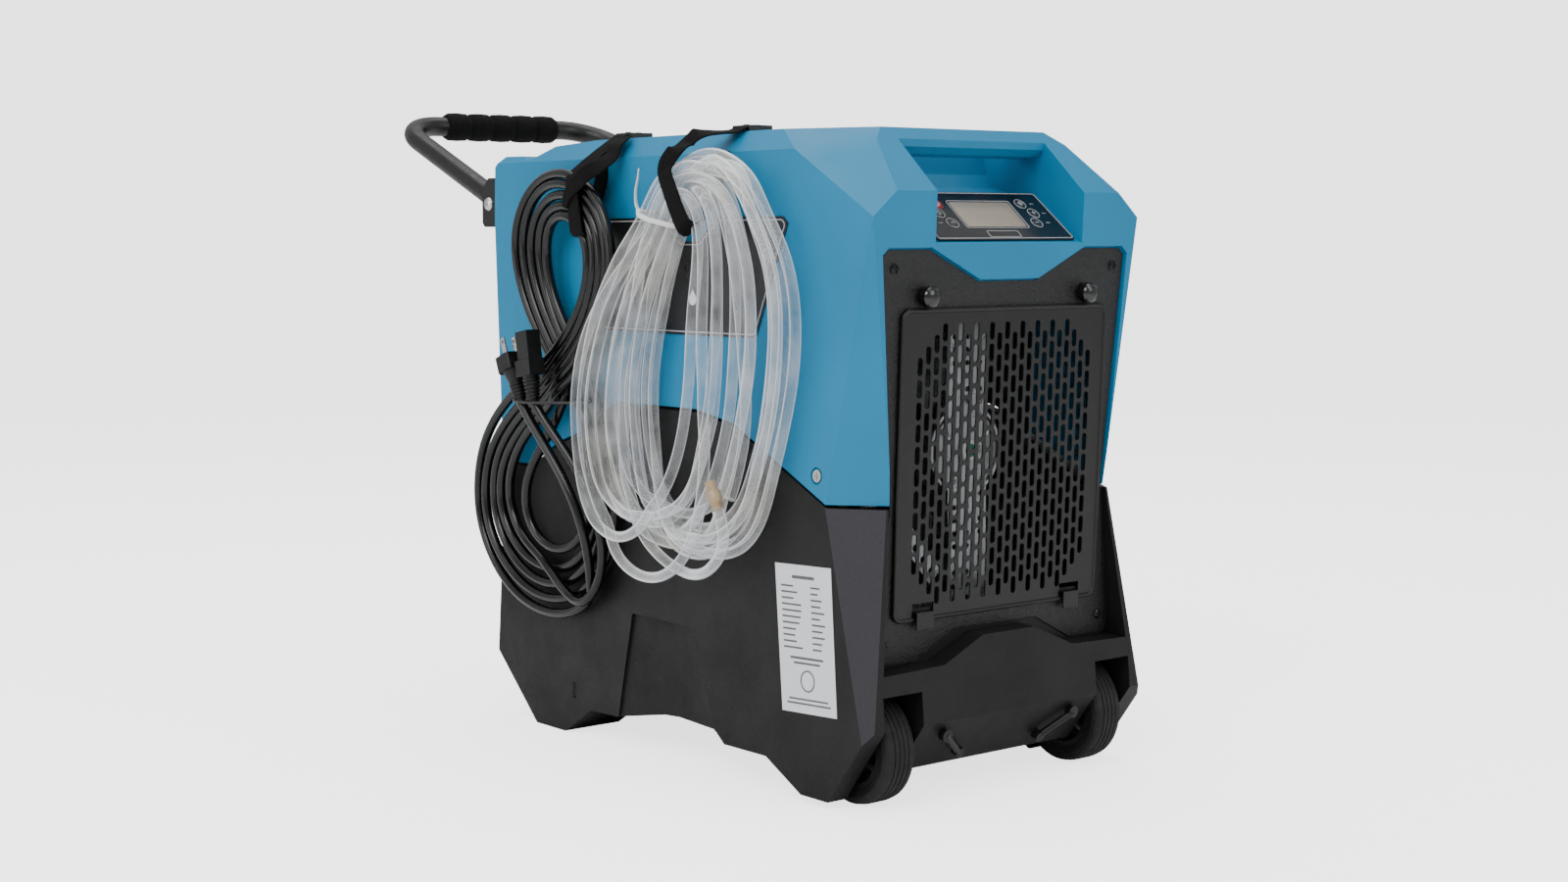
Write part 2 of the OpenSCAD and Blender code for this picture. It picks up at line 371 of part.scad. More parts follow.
// ---- back ----
module outlet_grille() color([0.07, 0.07, 0.07]) place() difference() {
  union() { box([-118, 568.1, 330], [118, 571, 490]); difference() { box([-103, 560, 337], [103, 568.2, 483]); box([-100, 550, 340], [100, 569, 480]); } }
  for (k = [0:9]) for (x = [-98, 2]) translate([x, 572, 343.5 + 14 * k]) rotate([30, 0, 0]) translate([0, -30, 0]) cube([96, 40, 7]);
  both() for (z = [344, 476]) cy(2.1, 112, 550, 580, z);
}
module power_inlet() color([0.05, 0.05, 0.05]) place() difference() {
  union() { box([-115, 560.1, 184], [-65, 563, 208]); box([-103.5, 536, 186.5], [-76.5, 560.2, 205.5]); }
  box([-102, 544, 188], [-78, 570, 204]);
  for (x = [-110, -70]) cy(1.8, x, 555, 570, 196);
}
module drain_outlet() color([0.8, 0.8, 0.78]) place() difference() {
  union() { cy(6.5, 110, 524, 560.2, 92); cy(11, 110, 560.1, 566, 92); cy(5, 110, 566 - e, 584, 92); }
  cy(3, 110, 520, 590, 92);
}

// ---- inside ----
module base_pan() color([0.6, 0.62, 0.64]) place() difference() { box([-148, 100, 47.2], [148, 516, 62]); box([-146, 102, 49.2], [146, 514, 70]); }
fan_x = 14; fan_z = 300;
module fan_strap() color([0.8, 0.81, 0.82]) place() difference() {
  union() { box([fan_x - 24, 44, 150], [fan_x + 24, 46, 446]); for (z = [150, 444]) box([fan_x - 24, 16, z], [fan_x + 24, 46, z + 2]); }
  for (z = [164:12:436]) for (x = [-16, 0, 16]) if (abs(z - fan_z) > 20) cy(2.6, fan_x + x, 40, 50, z);
  cy(11, fan_x, 40, 50, fan_z);
  for (s = [-1, 1]) cy(2, fan_x + s * 16, 40, 50, fan_z);
}
module fan_motor() color([0.72, 0.73, 0.74]) place() union() {
  cy(38, fan_x, 46.1, 84, fan_z); cy(10.5, fan_x, 40, 46.2, fan_z); cy(4, fan_x, 84 - e, 112, fan_z);
  for (s = [-1, 1]) { cy(1.9, fan_x + s * 16, 42, 46.2, fan_z); cy(3.6, fan_x + s * 16, 41, 43.9, fan_z); }
}
module fan_impeller() color([0.05, 0.05, 0.05]) place() translate([fan_x, 86, fan_z]) rotate([-90, 0, 0]) difference() {
  union() {
    cylinder(r = 30, h = 24);
    intersection() {
      difference() { translate([0, 0, 1]) cylinder(r = 96, h = 22); translate([0, 0, -2]) cylinder(r = 29, h = 40); }
      for (a = [0:60:300]) rotate([0, 0, a]) translate([62, 0, 12]) rotate([32, 0, 0]) cube([72, 64, 2], center = true);
    }
  }
  translate([0, 0, -1]) cylinder(r = 4 + run_fit, h = 40);
}
module fan_shroud() color([0.12, 0.12, 0.12]) place() difference() {
  union() { box([-150, 98, 170], [150, 101, 430]); cy(106, fan_x, 84, 101, fan_z); }
  cy(101, fan_x, 70, 120, fan_z);
}
// finned coil pack: fins, end plates and return bends
module coil(y0, d, x1, z0, z1) {
  difference() { box([-x1, y0, z0], [x1, y0 + d, z1]); for (k = [1:17]) box([-x1 + k * 2 * x1 / 18 - 0.7, y0 - 1, z0 + 4], [-x1 + k * 2 * x1 / 18 + 0.7, y0 + 6, z1 - 4]); }
  for (s = [-1, 1]) box([s > 0 ? x1 - e : -x1 - 2, y0 - 3, z0 - 3], [s > 0 ? x1 + 2 : -x1 + e, y0 + d + 3, z1 + 3]);
  for (k = [0:6]) translate([x1 + 2, y0 + d / 2, z0 + 24 + k * (z1 - z0 - 48) / 6]) rotate([0, 0, -90]) rotate_extrude(angle = 180) translate([9, 0]) circle(r = 4);
}
module evaporator_coil() color([0.75, 0.77, 0.78]) place() coil(150, 44, 128, 110, 440);
module condenser_coil() color([0.72, 0.74, 0.75]) place() coil(250, 44, 128, 110, 440);
module compressor() color([0.05, 0.05, 0.05]) place() translate([-60, 430, 0]) {
  translate([0, 0, 74]) cylinder(r = 52, h = 120);
  intersection() { translate([0, 0, 160]) sphere(r = 62.1); translate([0, 0, 194 - e]) cylinder(r = 52, h = 60); }
  for (a = [90, 210, 330]) rotate([0, 0, a]) difference() { translate([40, -12, 69]) cube([36, 24, 5.2]); translate([66, 0, 60]) cylinder(r = 6, h = 20); }
  translate([0, 0, 69]) cylinder(r = 50, h = 5.1);
}
module compressor_mounts() color([0.1, 0.1, 0.1]) place() translate([-60, 430, 0]) for (a = [90, 210, 330]) rotate([0, 0, a]) translate([66, 0, 49.3]) difference() { union() { cylinder(r = 10, h = 19.5); cylinder(r = 5.9, h = 28); translate([0, 0, 25.2]) cylinder(r = 8, h = 3); } translate([0, 0, -1]) cylinder(r = 3, h = 40); }
module accumulator() color([0.05, 0.05, 0.05]) place() translate([30, 430, 130]) { cylinder(r = 18, h = 90); translate([0, 0, 90]) sphere(r = 18); sphere(r = 18); }
module tube_path(p, r) for (i = [0:len(p) - 2]) { rod(p[i], p[i + 1], r); if (i > 0) translate(p[i]) sphere(r = r); }
module refrigerant_pipes() color([0.72, 0.42, 0.22]) place() {
  tube_path([[-60, 430, 223], [-60, 430, 300], [-60, 330, 300], [-60, 330, 470], [100, 330, 470], [100, 310, 470]], 4.5);
  tube_path([[30, 430, 239], [30, 430, 320], [30, 320, 320], [30, 320, 456], [-100, 320, 456], [-100, 205, 456]], 4.5);
}
module condensate_pump() color([0.15, 0.16, 0.18]) place() { box([60, 380, 50], [130, 500, 110]); cy(3, 110, 500 - e, 519, 92); translate([95, 440, 110 - e]) cylinder(r = 24, h = 40); }
module run_capacitor() color([0.8, 0.8, 0.8]) place() { translate([110, 350, 64]) cylinder(r = 14, h = 60); translate([110, 350, 124 - e]) cylinder(r = 8, h = 4); }
module control_board() color([0.05, 0.35, 0.15]) place() { box([-60, 42, 500], [60, 104, 502]); for (x = [-54, 54]) for (y = [48, 70]) translate([x, y, 502 - e]) cylinder(r = 3, h = 24); for (x = [-40, -5, 30]) box([x, 60, 502 - e], [x + 18, 80, 514]); }

upper_housing();
lower_housing();
front_panel();
inlet_grille();
grille_rim();
grille_clips();
panel_screws();
housing_screws();
thumbscrew_left();
thumbscrew_right();
control_bezel();
lcd_window();
button_power();
button_left_upper();
button_left_lower();
button_right_top();
button_right_upper();
button_right_lower();
axle();
axle_washers();
axle_braces();
wheel_hub_left();
tyre_left();
wheel_hub_right();
tyre_right();
handle_tube();
handle_grip();
handle_brackets();
handle_bolts();
strap_cord();
strap_hose();
strap_anchors();
cord_hank();
cord_plug();
plug_blades();
cord_connector();
cord_tie();
hose_coil();
hose_tie();
hose_fitting();
rating_label();
side_plate();
outlet_grille();
power_inlet();
drain_outlet();
base_pan();
fan_strap();
fan_motor();
fan_impeller();
fan_shroud();
evaporator_coil();
condenser_coil();
compressor();
compressor_mounts();
accumulator();
refrigerant_pipes();
condensate_pump();
run_capacitor();
control_board();
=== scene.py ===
import bpy, bmesh, math, random
import numpy as np
from mathutils import Vector, Matrix, kdtree, noise


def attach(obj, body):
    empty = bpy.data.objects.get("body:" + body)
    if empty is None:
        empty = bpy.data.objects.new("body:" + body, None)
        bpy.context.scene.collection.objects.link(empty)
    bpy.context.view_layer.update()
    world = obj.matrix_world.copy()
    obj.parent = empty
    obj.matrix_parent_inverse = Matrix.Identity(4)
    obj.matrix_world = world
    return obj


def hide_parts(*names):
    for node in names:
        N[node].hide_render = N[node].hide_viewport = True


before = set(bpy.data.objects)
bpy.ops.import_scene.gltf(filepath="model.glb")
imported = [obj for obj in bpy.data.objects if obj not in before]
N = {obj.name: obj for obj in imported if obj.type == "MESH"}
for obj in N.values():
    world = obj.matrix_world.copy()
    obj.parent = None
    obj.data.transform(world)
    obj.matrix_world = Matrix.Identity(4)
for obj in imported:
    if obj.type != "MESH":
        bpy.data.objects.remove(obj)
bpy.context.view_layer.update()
random.seed(11)
rng = np.random.default_rng(7)
MM = 0.001
# offset of the part's own drawing origin (front foot line, centre plane, floor) in the row frame
OX, OY = 0.019992, -0.399265


def D(x, y, z):
    return Vector((x * MM + OX, y * MM + OY, z * MM))


# ------------------------------------------------------------------ camera
cam_data = bpy.data.cameras.new("camera")
cam = bpy.data.objects.new("camera", cam_data)
bpy.context.scene.collection.objects.link(cam)
cam_data.sensor_width = 36.0
cam_data.lens = 51.656
cam_data.clip_start, cam_data.clip_end = 0.05, 60.0
yaw, pitch, roll = math.radians(39.0016), math.radians(5.2297), math.radians(-0.2163)
d = Vector((math.sin(yaw) * math.cos(pitch), math.cos(yaw) * math.cos(pitch), -math.sin(pitch)))
r = Vector((math.cos(yaw), -math.sin(yaw), 0.0))
u = r.cross(d)
r2 = r * math.cos(roll) + u * math.sin(roll)
u2 = -r * math.sin(roll) + u * math.cos(roll)
rot = Matrix((r2, u2, -d)).transposed().to_4x4()
rot.translation = D(-1405.3, -1442.5, 496.4)
cam.matrix_world = rot
bpy.context.scene.camera = cam


# ------------------------------------------------------------------ cords
def catmull(P, step):
    """Points every step along a smooth open curve through P."""
    P = np.asarray(P, float)
    P = np.vstack([2 * P[0] - P[1], P, 2 * P[-1] - P[-2]])
    out = []
    for i in range(1, len(P) - 2):
        p0, p1, p2, p3 = P[i - 1], P[i], P[i + 1], P[i + 2]
        t0 = 0.0
        t1 = t0 + max(np.linalg.norm(p1 - p0), 1e-6) ** 0.5
        t2 = t1 + max(np.linalg.norm(p2 - p1), 1e-6) ** 0.5
        t3 = t2 + max(np.linalg.norm(p3 - p2), 1e-6) ** 0.5
        for t in np.linspace(t1, t2, 24, endpoint=False):
            A1 = (t1 - t) / (t1 - t0) * p0 + (t - t0) / (t1 - t0) * p1
            A2 = (t2 - t) / (t2 - t1) * p1 + (t - t1) / (t2 - t1) * p2
            A3 = (t3 - t) / (t3 - t2) * p2 + (t - t2) / (t3 - t2) * p3
            B1 = (t2 - t) / (t2 - t0) * A1 + (t - t0) / (t2 - t0) * A2
            B2 = (t3 - t) / (t3 - t1) * A2 + (t - t1) / (t3 - t1) * A3
            out.append((t2 - t) / (t2 - t1) * B1 + (t - t1) / (t2 - t1) * B2)
    out.append(P[-2])
    out = np.array(out)
    s = np.concatenate([[0], np.cumsum(np.linalg.norm(np.diff(out, axis=0), axis=1))])
    n = max(int(round(s[-1] / step)), 4)
    q = np.linspace(0, s[-1], n + 1)
    return np.stack([np.interp(q, s, out[:, k]) for k in range(3)], 1)


def lerp(a, b, t):
    return a + (b - a) * t


def wall_x(z):
    """Left wall of the shell at height z, in mm."""
    return -(174.0 - 0.0241 * z)


# power lead: a figure-8 hank, folded in half and wound double, hung from its strap.
# station: (y, z) of the middle strand, unit offset direction scale, x layer
FIG8 = {
    "top": (396, 542, 0.9), "ul1": (446, 537, 1.15), "ul2": (473, 500, 1.4), "ul3": (465, 446, 1.35),
    "ul4": (434, 398, 1.1), "x1": (398, 360, 1.0), "lr1": (362, 318, 1.0), "lr2": (342, 262, 1.2),
    "lr3": (347, 208, 1.5), "b1": (382, 162, 1.5), "b2": (440, 146, 1.5), "b3": (504, 163, 1.5),
    "b4": (545, 212, 1.55), "ll1": (538, 266, 1.4), "ll2": (498, 308, 1.2), "ll3": (446, 340, 1.0),
    "x2": (401, 370, 1.0), "ur1": (368, 398, 1.0), "ur2": (343, 442, 1.0), "ur3": (338, 490, 1.0),
    "ur4": (356, 528, 0.9),
}
ORDER = ["lr1", "lr2", "lr3", "b1", "b2", "b3", "b4", "ll1", "ll2", "ll3", "x2", "ur1", "ur2", "ur3", "ur4", "top", "ul1", "ul2", "ul3", "ul4", "x1"]
# x layer of each limb: the strands that run down to the right lie on the wall, the others over them
XL = {"top": -187, "ul1": -185, "ul2": -183, "ul3": -181, "ul4": -179, "x1": -177.6, "lr1": -177.4, "lr2": -178, "lr3": -179,
      "b1": -181, "b2": -183, "b3": -184, "b4": -185, "ll1": -187, "ll2": -187.5, "ll3": -187.6, "x2": -187.6, "ur1": -186, "ur2": -184, "ur3": -184, "ur4": -186}


def fig8_point(name, off, jit=0.0):
    i = ORDER.index(name)
    y, z, sc = FIG8[name]
    a, b = FIG8[ORDER[i - 1]], FIG8[ORDER[(i + 1) % len(ORDER)]]
    ty, tz = b[0] - a[0], b[1] - a[1]
    n = math.hypot(ty, tz)
    ny, nz = -tz / n, ty / n
    return [XL[name] + random.uniform(-1.5, 1.5), y + ny * off * sc + random.uniform(-jit, jit), z + nz * off * sc + random.uniform(-jit, jit)]


def power_route():
    pts = [[-214, 417.4, 334.7], [-211, 409, 322], [-207, 396, 306], [-202, 378, 288], [-196, 358, 262], [-191, 340, 228], [-187, 334, 200], [-185, 338, 170], [-184, 354, 144], [-183, 382, 125]]
    # first half, wound one way round
    for k, off in enumerate((18.5, 9.0, 0.0)):
        names = ORDER[4:] if k == 0 else ORDER
        if k == 2:
            break
        for nm in names:
            pts.append(fig8_point(nm, off, 2.0))
    # the fold: a small loop inside the lower one
    for p in [(-180, 366, 308), (-181, 354, 262), (-183, 362, 214), (-186, 392, 184), (-190, 430, 180), (-194, 462, 200), (-197, 472, 236), (-198, 452, 270), (-197, 426, 292), (-193, 406, 318), (-188, 398, 340)]:
        pts.append(list(p))
    # second half, wound back the other way
    rev = list(reversed(ORDER))
    for k, off in enumerate((-0.5, -10.0, -19.5)):
        names = rev if k else rev
        for nm in names:
            p = fig8_point(nm, off, 2.0)
            pts.append(p)
        if k == 2:
            for _ in range(len(ORDER) - rev.index("b1") - 1):
                pts.pop()
    # back out over the rest to the plug
    pts += [[-192, 354, 178], [-198, 352, 208], [-203, 360, 238], [-207, 376, 264], [-210, 394, 284], [-212, 412, 302], [-213.5, 429, 316], [-214, 440.8, 334.2]]
    return pts


def relax(paths, rad, iters, lims, tight, pull=0.03, smooth=0.45):
    """Moves polylines so that strands lie beside each other, not in each other, and bend smoothly."""
    cur = [p.copy() for p in paths]
    home = [p.copy() for p in paths]
    ends = [(p[0].copy(), p[-1].copy()) for p in paths]
    ids = np.concatenate([np.full(len(p), k) for k, p in enumerate(cur)])
    idx = np.concatenate([np.arange(len(p)) for p in cur])
    R = np.concatenate([np.full(len(p), rad[k]) for k, p in enumerate(cur)])
    for it in range(iters):
        P = np.vstack(cur)
        kd = kdtree.KDTree(len(P))
        for i, p in enumerate(P):
            kd.insert(p, i)
        kd.balance()
        move = np.zeros_like(P)
        cnt = np.zeros(len(P))
        for i, p in enumerate(P):
            for co, j, dist in kd.find_range(p, 2.04 * R[i]):
                if j <= i:
                    continue
                if ids[i] == ids[j] and abs(int(idx[i]) - int(idx[j])) < 7:
                    continue
                need = (R[i] + R[j]) * 1.02
                if dist >= need:
                    continue
                v = P[j] - p
                if abs(v[0]) < 0.8:
                    v = v + np.array([0.8 if (home_x[j] > home_x[i]) else -0.8, 0, 0])
                v = v * np.array([1.7, 1.0, 1.0])
                v = v / (np.linalg.norm(v) + 1e-9)
                push = (need - dist) * 0.5
                move[i] -= v * push
                move[j] += v * push
                cnt[i] += 1
                cnt[j] += 1
        m = cnt > 0
        move[m] /= np.maximum(cnt[m], 1)[:, None] ** 0.6
        P = P + move * 0.9
        o = 0
        last = it > iters - 6
        for k, p in enumerate(cur):
            q = P[o:o + len(p)]
            o += len(p)
            for _ in range(1 if last else 2):
                q2 = q.copy()
                q2[1:-1] = q[1:-1] + smooth * 0.5 * (q[:-2] + q[2:] - 2 * q[1:-1])
                q = q2
            q = q + pull * (home[k] - q) * (0.3 if last else 1.0)
            keep = 5
            w = np.clip(np.arange(keep) / keep, 0, 1)[:, None]
            q[:keep] = home[k][:keep] * (1 - w) + q[:keep] * w
            for _ in range(9):
                for gap_ in (1, 2, 3):
                    v = q[:-2 * gap_] + q[2 * gap_:] - 2 * q[gap_:-gap_]
                    ln = np.linalg.norm(v, axis=1)
                    lim_ = (STEP * gap_) ** 2 / tight[k]
                    f_ = np.clip(1 - lim_ / (ln + 1e-9), 0, 1)[:, None] * 0.3
                    mv = v * f_
                    q[gap_:-gap_] += mv
                    q[:-2 * gap_] -= mv * 0.45
                    q[2 * gap_:] -= mv * 0.45
                q[0], q[-1] = ends[k]
            lims(k, q)
            cur[k] = q
    return cur


# clear drain hose: loops hung from the second strap, nested, a few of them lower than the rest
def hang(x0, y0, z0, x1, y1, z1, zb, n=6):
    """The hanging bottom of a loop, from the front limb to the rear one."""
    out = []
    for k in range(1, n + 1):
        t = math.pi * k / (n + 1)
        s_ = (1 - math.cos(t)) / 2
        zt_ = lerp(z0, z1, s_)
        out.append([lerp(x0, x1, s_), lerp(y0, y1, s_), zt_ - (zt_ - zb) * math.sin(t) ** 0.9])
    return out


def arch(a_, b_, zt, n=5):
    """Over the strap: from a tie slot at the rear to the head of a front limb."""
    out = []
    hw_ = abs(a_[1] - b_[1]) / 2
    h = max(zt - (a_[2] + b_[2]) / 2, math.sqrt(37 * hw_))
    for k in range(1, n + 1):
        t = math.pi * k / (n + 1)
        s_ = (1 - math.cos(t)) / 2
        out.append([lerp(a_[0], b_[0], s_), lerp(a_[1], b_[1], s_), lerp(a_[2], b_[2], s_) + h * math.sin(t)])
    return out


# places in the zip tie: depth from the wall and distance along the body from its middle
SLOTS = [(0, -10.8), (0, 0), (0, 10.8), (1, -16), (1, -5.4), (1, 5.4), (1, 16), (2, -16), (2, -5.2), (2, 5.6), (2, 16.4), (3, -10), (3, 0.8), (3, 11.6)]
TIE_Y, TIE_Z, TIE_TILT = 234.0, 511.0, math.radians(16)


def hose_route():
    n = 12
    front = [0.62, 0.15, 0.85, 0.4, 1.0, 0.28, 0.72, 0.02, 0.5, 0.93, 0.2, 0.78]
    rear = [0.5, 0.95, 0.12, 0.66, 0.0, 0.8, 0.3, 1.0, 0.42, 0.2, 0.72, 0.36]
    deep = [212, 226, 205, 218, 208, 232, 222, 210, 236, 214, 224, 200]
    lay = [0.55, 0.95, 0.1, 0.4, 0.2, 0.75, 0.0, 0.9, 0.3, 0.65, 0.5, 0.15]
    j = lambda a: random.uniform(-a, a)
    free = list(SLOTS)

    def tie_slot(q, l):
        want = (lerp(0, 3, l), lerp(-16, 16, q))
        best = min(free, key=lambda s_: (s_[0] - want[0]) ** 2 * 60 + (s_[1] - want[1]) ** 2)
        free.remove(best)
        return [-169.5 - 9.6 * best[0], TIE_Y + best[1], TIE_Z + best[1] * math.tan(TIE_TILT)]

    # the end with the fitting runs down, back along the bottom and up the rear limb
    a_ = tie_slot(0.55, 0.85)
    pts = [[-218.6, 115.6, 256.5], [-217, 110, 243], [-214, 112, 220], [-210, 132, 196], [-206, 166, 186], [-203, 206, 190], [-200, 246, 208], [-197, 276, 244], [-195, 292, 292], [-194, 294, 340],
           [-194, 286, 390], [-194, 270, 440], [-195, 254, 480], a_]
    for k in range(n):
        f, q, zb, l = front[k], rear[k], deep[k], lay[k]
        x = lerp(-178, -205, l)
        xr = lerp(-178, -206, (l + q) / 2)
        head = [x, lerp(160, 98, f) + j(1), lerp(500, 524, f)]
        pts += arch(a_, head, lerp(541, 567, f))
        pts += [
            head,
            [x, lerp(168, 60, f) + j(2), lerp(462, 480, f)],
            [x, lerp(177, 47.5, f) + j(2), lerp(424, 436, f)],
            [x, lerp(179, 50, f) + j(3), 386 + j(3)],
            [x, lerp(186, 63, f) + j(3), 334 + j(3)],
            [x, lerp(200, 82, f) + j(3), 286 + j(3)],
        ]
        y0, y1 = pts[-1][1], lerp(259, 356, q) + j(2)
        low = hang(x, y0, 286, xr, y1, 290, zb + j(3))
        if k == 7:    # wide loop that crosses over the rest, out at the back
            low = [[-207, 222, 242], [-209, 252, 216], [-210, 290, 206], [-210, 326, 224], [-209, 348, 262]]
        if k == 1:    # the lowest loop
            pts[-2:] = [[-204, 150, 330], [-206, 150, 284]]
            low = [[-208, 156, 238], [-209, 178, 196], [-210, 218, 178], [-210, 264, 180], [-210, 304, 204], [-209, 324, 250]]
        if k == 4:    # low loop at the front
            low = [[-186, 92, 240], [-190, 112, 212], [-194, 140, 206], [-196, 172, 210], [-196, 206, 222], [-195, 236, 242]]
        pts += low
        a_ = tie_slot(q, (l + q) / 2)
        pts += [
            [xr, y1, 294],
            [xr, lerp(268, 360, q) + j(2), 337 + j(3)],
            [xr, lerp(261, 346, q) + j(2), 382 + j(3)],
            [xr, lerp(247, 317, q) + j(2), 436 + j(2)],
            [(a_[0] + xr) / 2, lerp(a_[1] + 10, 282, q), 478],
            a_,
        ]
    pts += arch(a_, [-192, 128, 500], 556)
    pts += [[-192, 128, 500], [-192, 116, 450], [-191, 110, 400], [-190, 110, 350], [-189, 120, 300], [-188, 138, 262]]
    return pts


STEP = 7.0
hose0 = catmull(hose_route(), STEP)
cord0 = catmull(power_route(), STEP)
home_x = np.concatenate([hose0[:, 0], cord0[:, 0]])
HR, CR = 5.2, 4.8


def limits(k, q):
    rad = HR if k == 0 else CR
    w = -(174.0 - 0.0241 * q[:, 2]) - rad - np.where(q[:, 2] > 505, 2.4, 0.6)
    q[:, 0] = np.minimum(q[:, 0], w)
    out = -211.0 if k == 0 else -206.0
    free = q[:, 0] < out
    if k == 0:
        free[:8] = False
    else:
        free[:20] = False
        free[-22:] = False
    q[free, 0] = out + 0.35 * (q[free, 0] - out)


hose_p, cord_p = relax([hose0, cord0], [HR, CR], 70, limits, (43.0, 40.0))


def length_of(p):
    return float(np.linalg.norm(np.diff(p, axis=0), axis=1).sum()) * MM


def gap_report(p, rad, name):
    kd = kdtree.KDTree(len(p))
    for i, c in enumerate(p):
        kd.insert(c, i)
    kd.balance()
    bad = 0
    for i, c in enumerate(p):
        for co, j, dist in kd.find_range(c, rad * 0.9):
            if abs(i - j) > 7:
                bad += 1
                break
    t = np.diff(p, axis=0)
    t /= np.linalg.norm(t, axis=1)[:, None]
    ang = np.arccos(np.clip((t[:-1] * t[1:]).sum(1), -1, 1))
    print(name, "length m", round(length_of(p), 3), "points", len(p), "deep overlaps", round(bad / len(p), 3), "tightest radius mm", round(STEP / float(np.percentile(ang, 99.5)), 1))


gap_report(hose_p, HR, "hose")
gap_report(cord_p, CR, "lead")


def curve_piece(name, pts, radius, res=5, closed=False):
    cu = bpy.data.curves.new(name, "CURVE")
    cu.dimensions = "3D"
    cu.bevel_depth = radius
    cu.bevel_resolution = res
    cu.use_fill_caps = True
    sp = cu.splines.new("POLY")
    sp.points.add(len(pts) - 1)
    for i, p in enumerate(pts):
        sp.points[i].co = (*p, 1)
    sp.use_cyclic_u = closed
    sp.use_smooth = True
    o = bpy.data.objects.new(name, cu)
    bpy.context.scene.collection.objects.link(o)
    return o


power_lead = curve_piece("power_lead", [D(*p) for p in cord_p], CR * MM, 5)
drain_hose = curve_piece("drain_hose", [D(*p) for p in hose_p], HR * MM, 5)


# ------------------------------------------------------------------ materials
def srgb(h):
    h = h.lstrip("#")
    out = []
    for i in (0, 2, 4):
        c = int(h[i:i + 2], 16) / 255
        out.append(c / 12.92 if c <= 0.04045 else ((c + 0.055) / 1.055) ** 2.4)
    return out


def shade(c, k):
    return [min(max(v * k, 0.0), 1.0) for v in c[:3]] + [1.0]


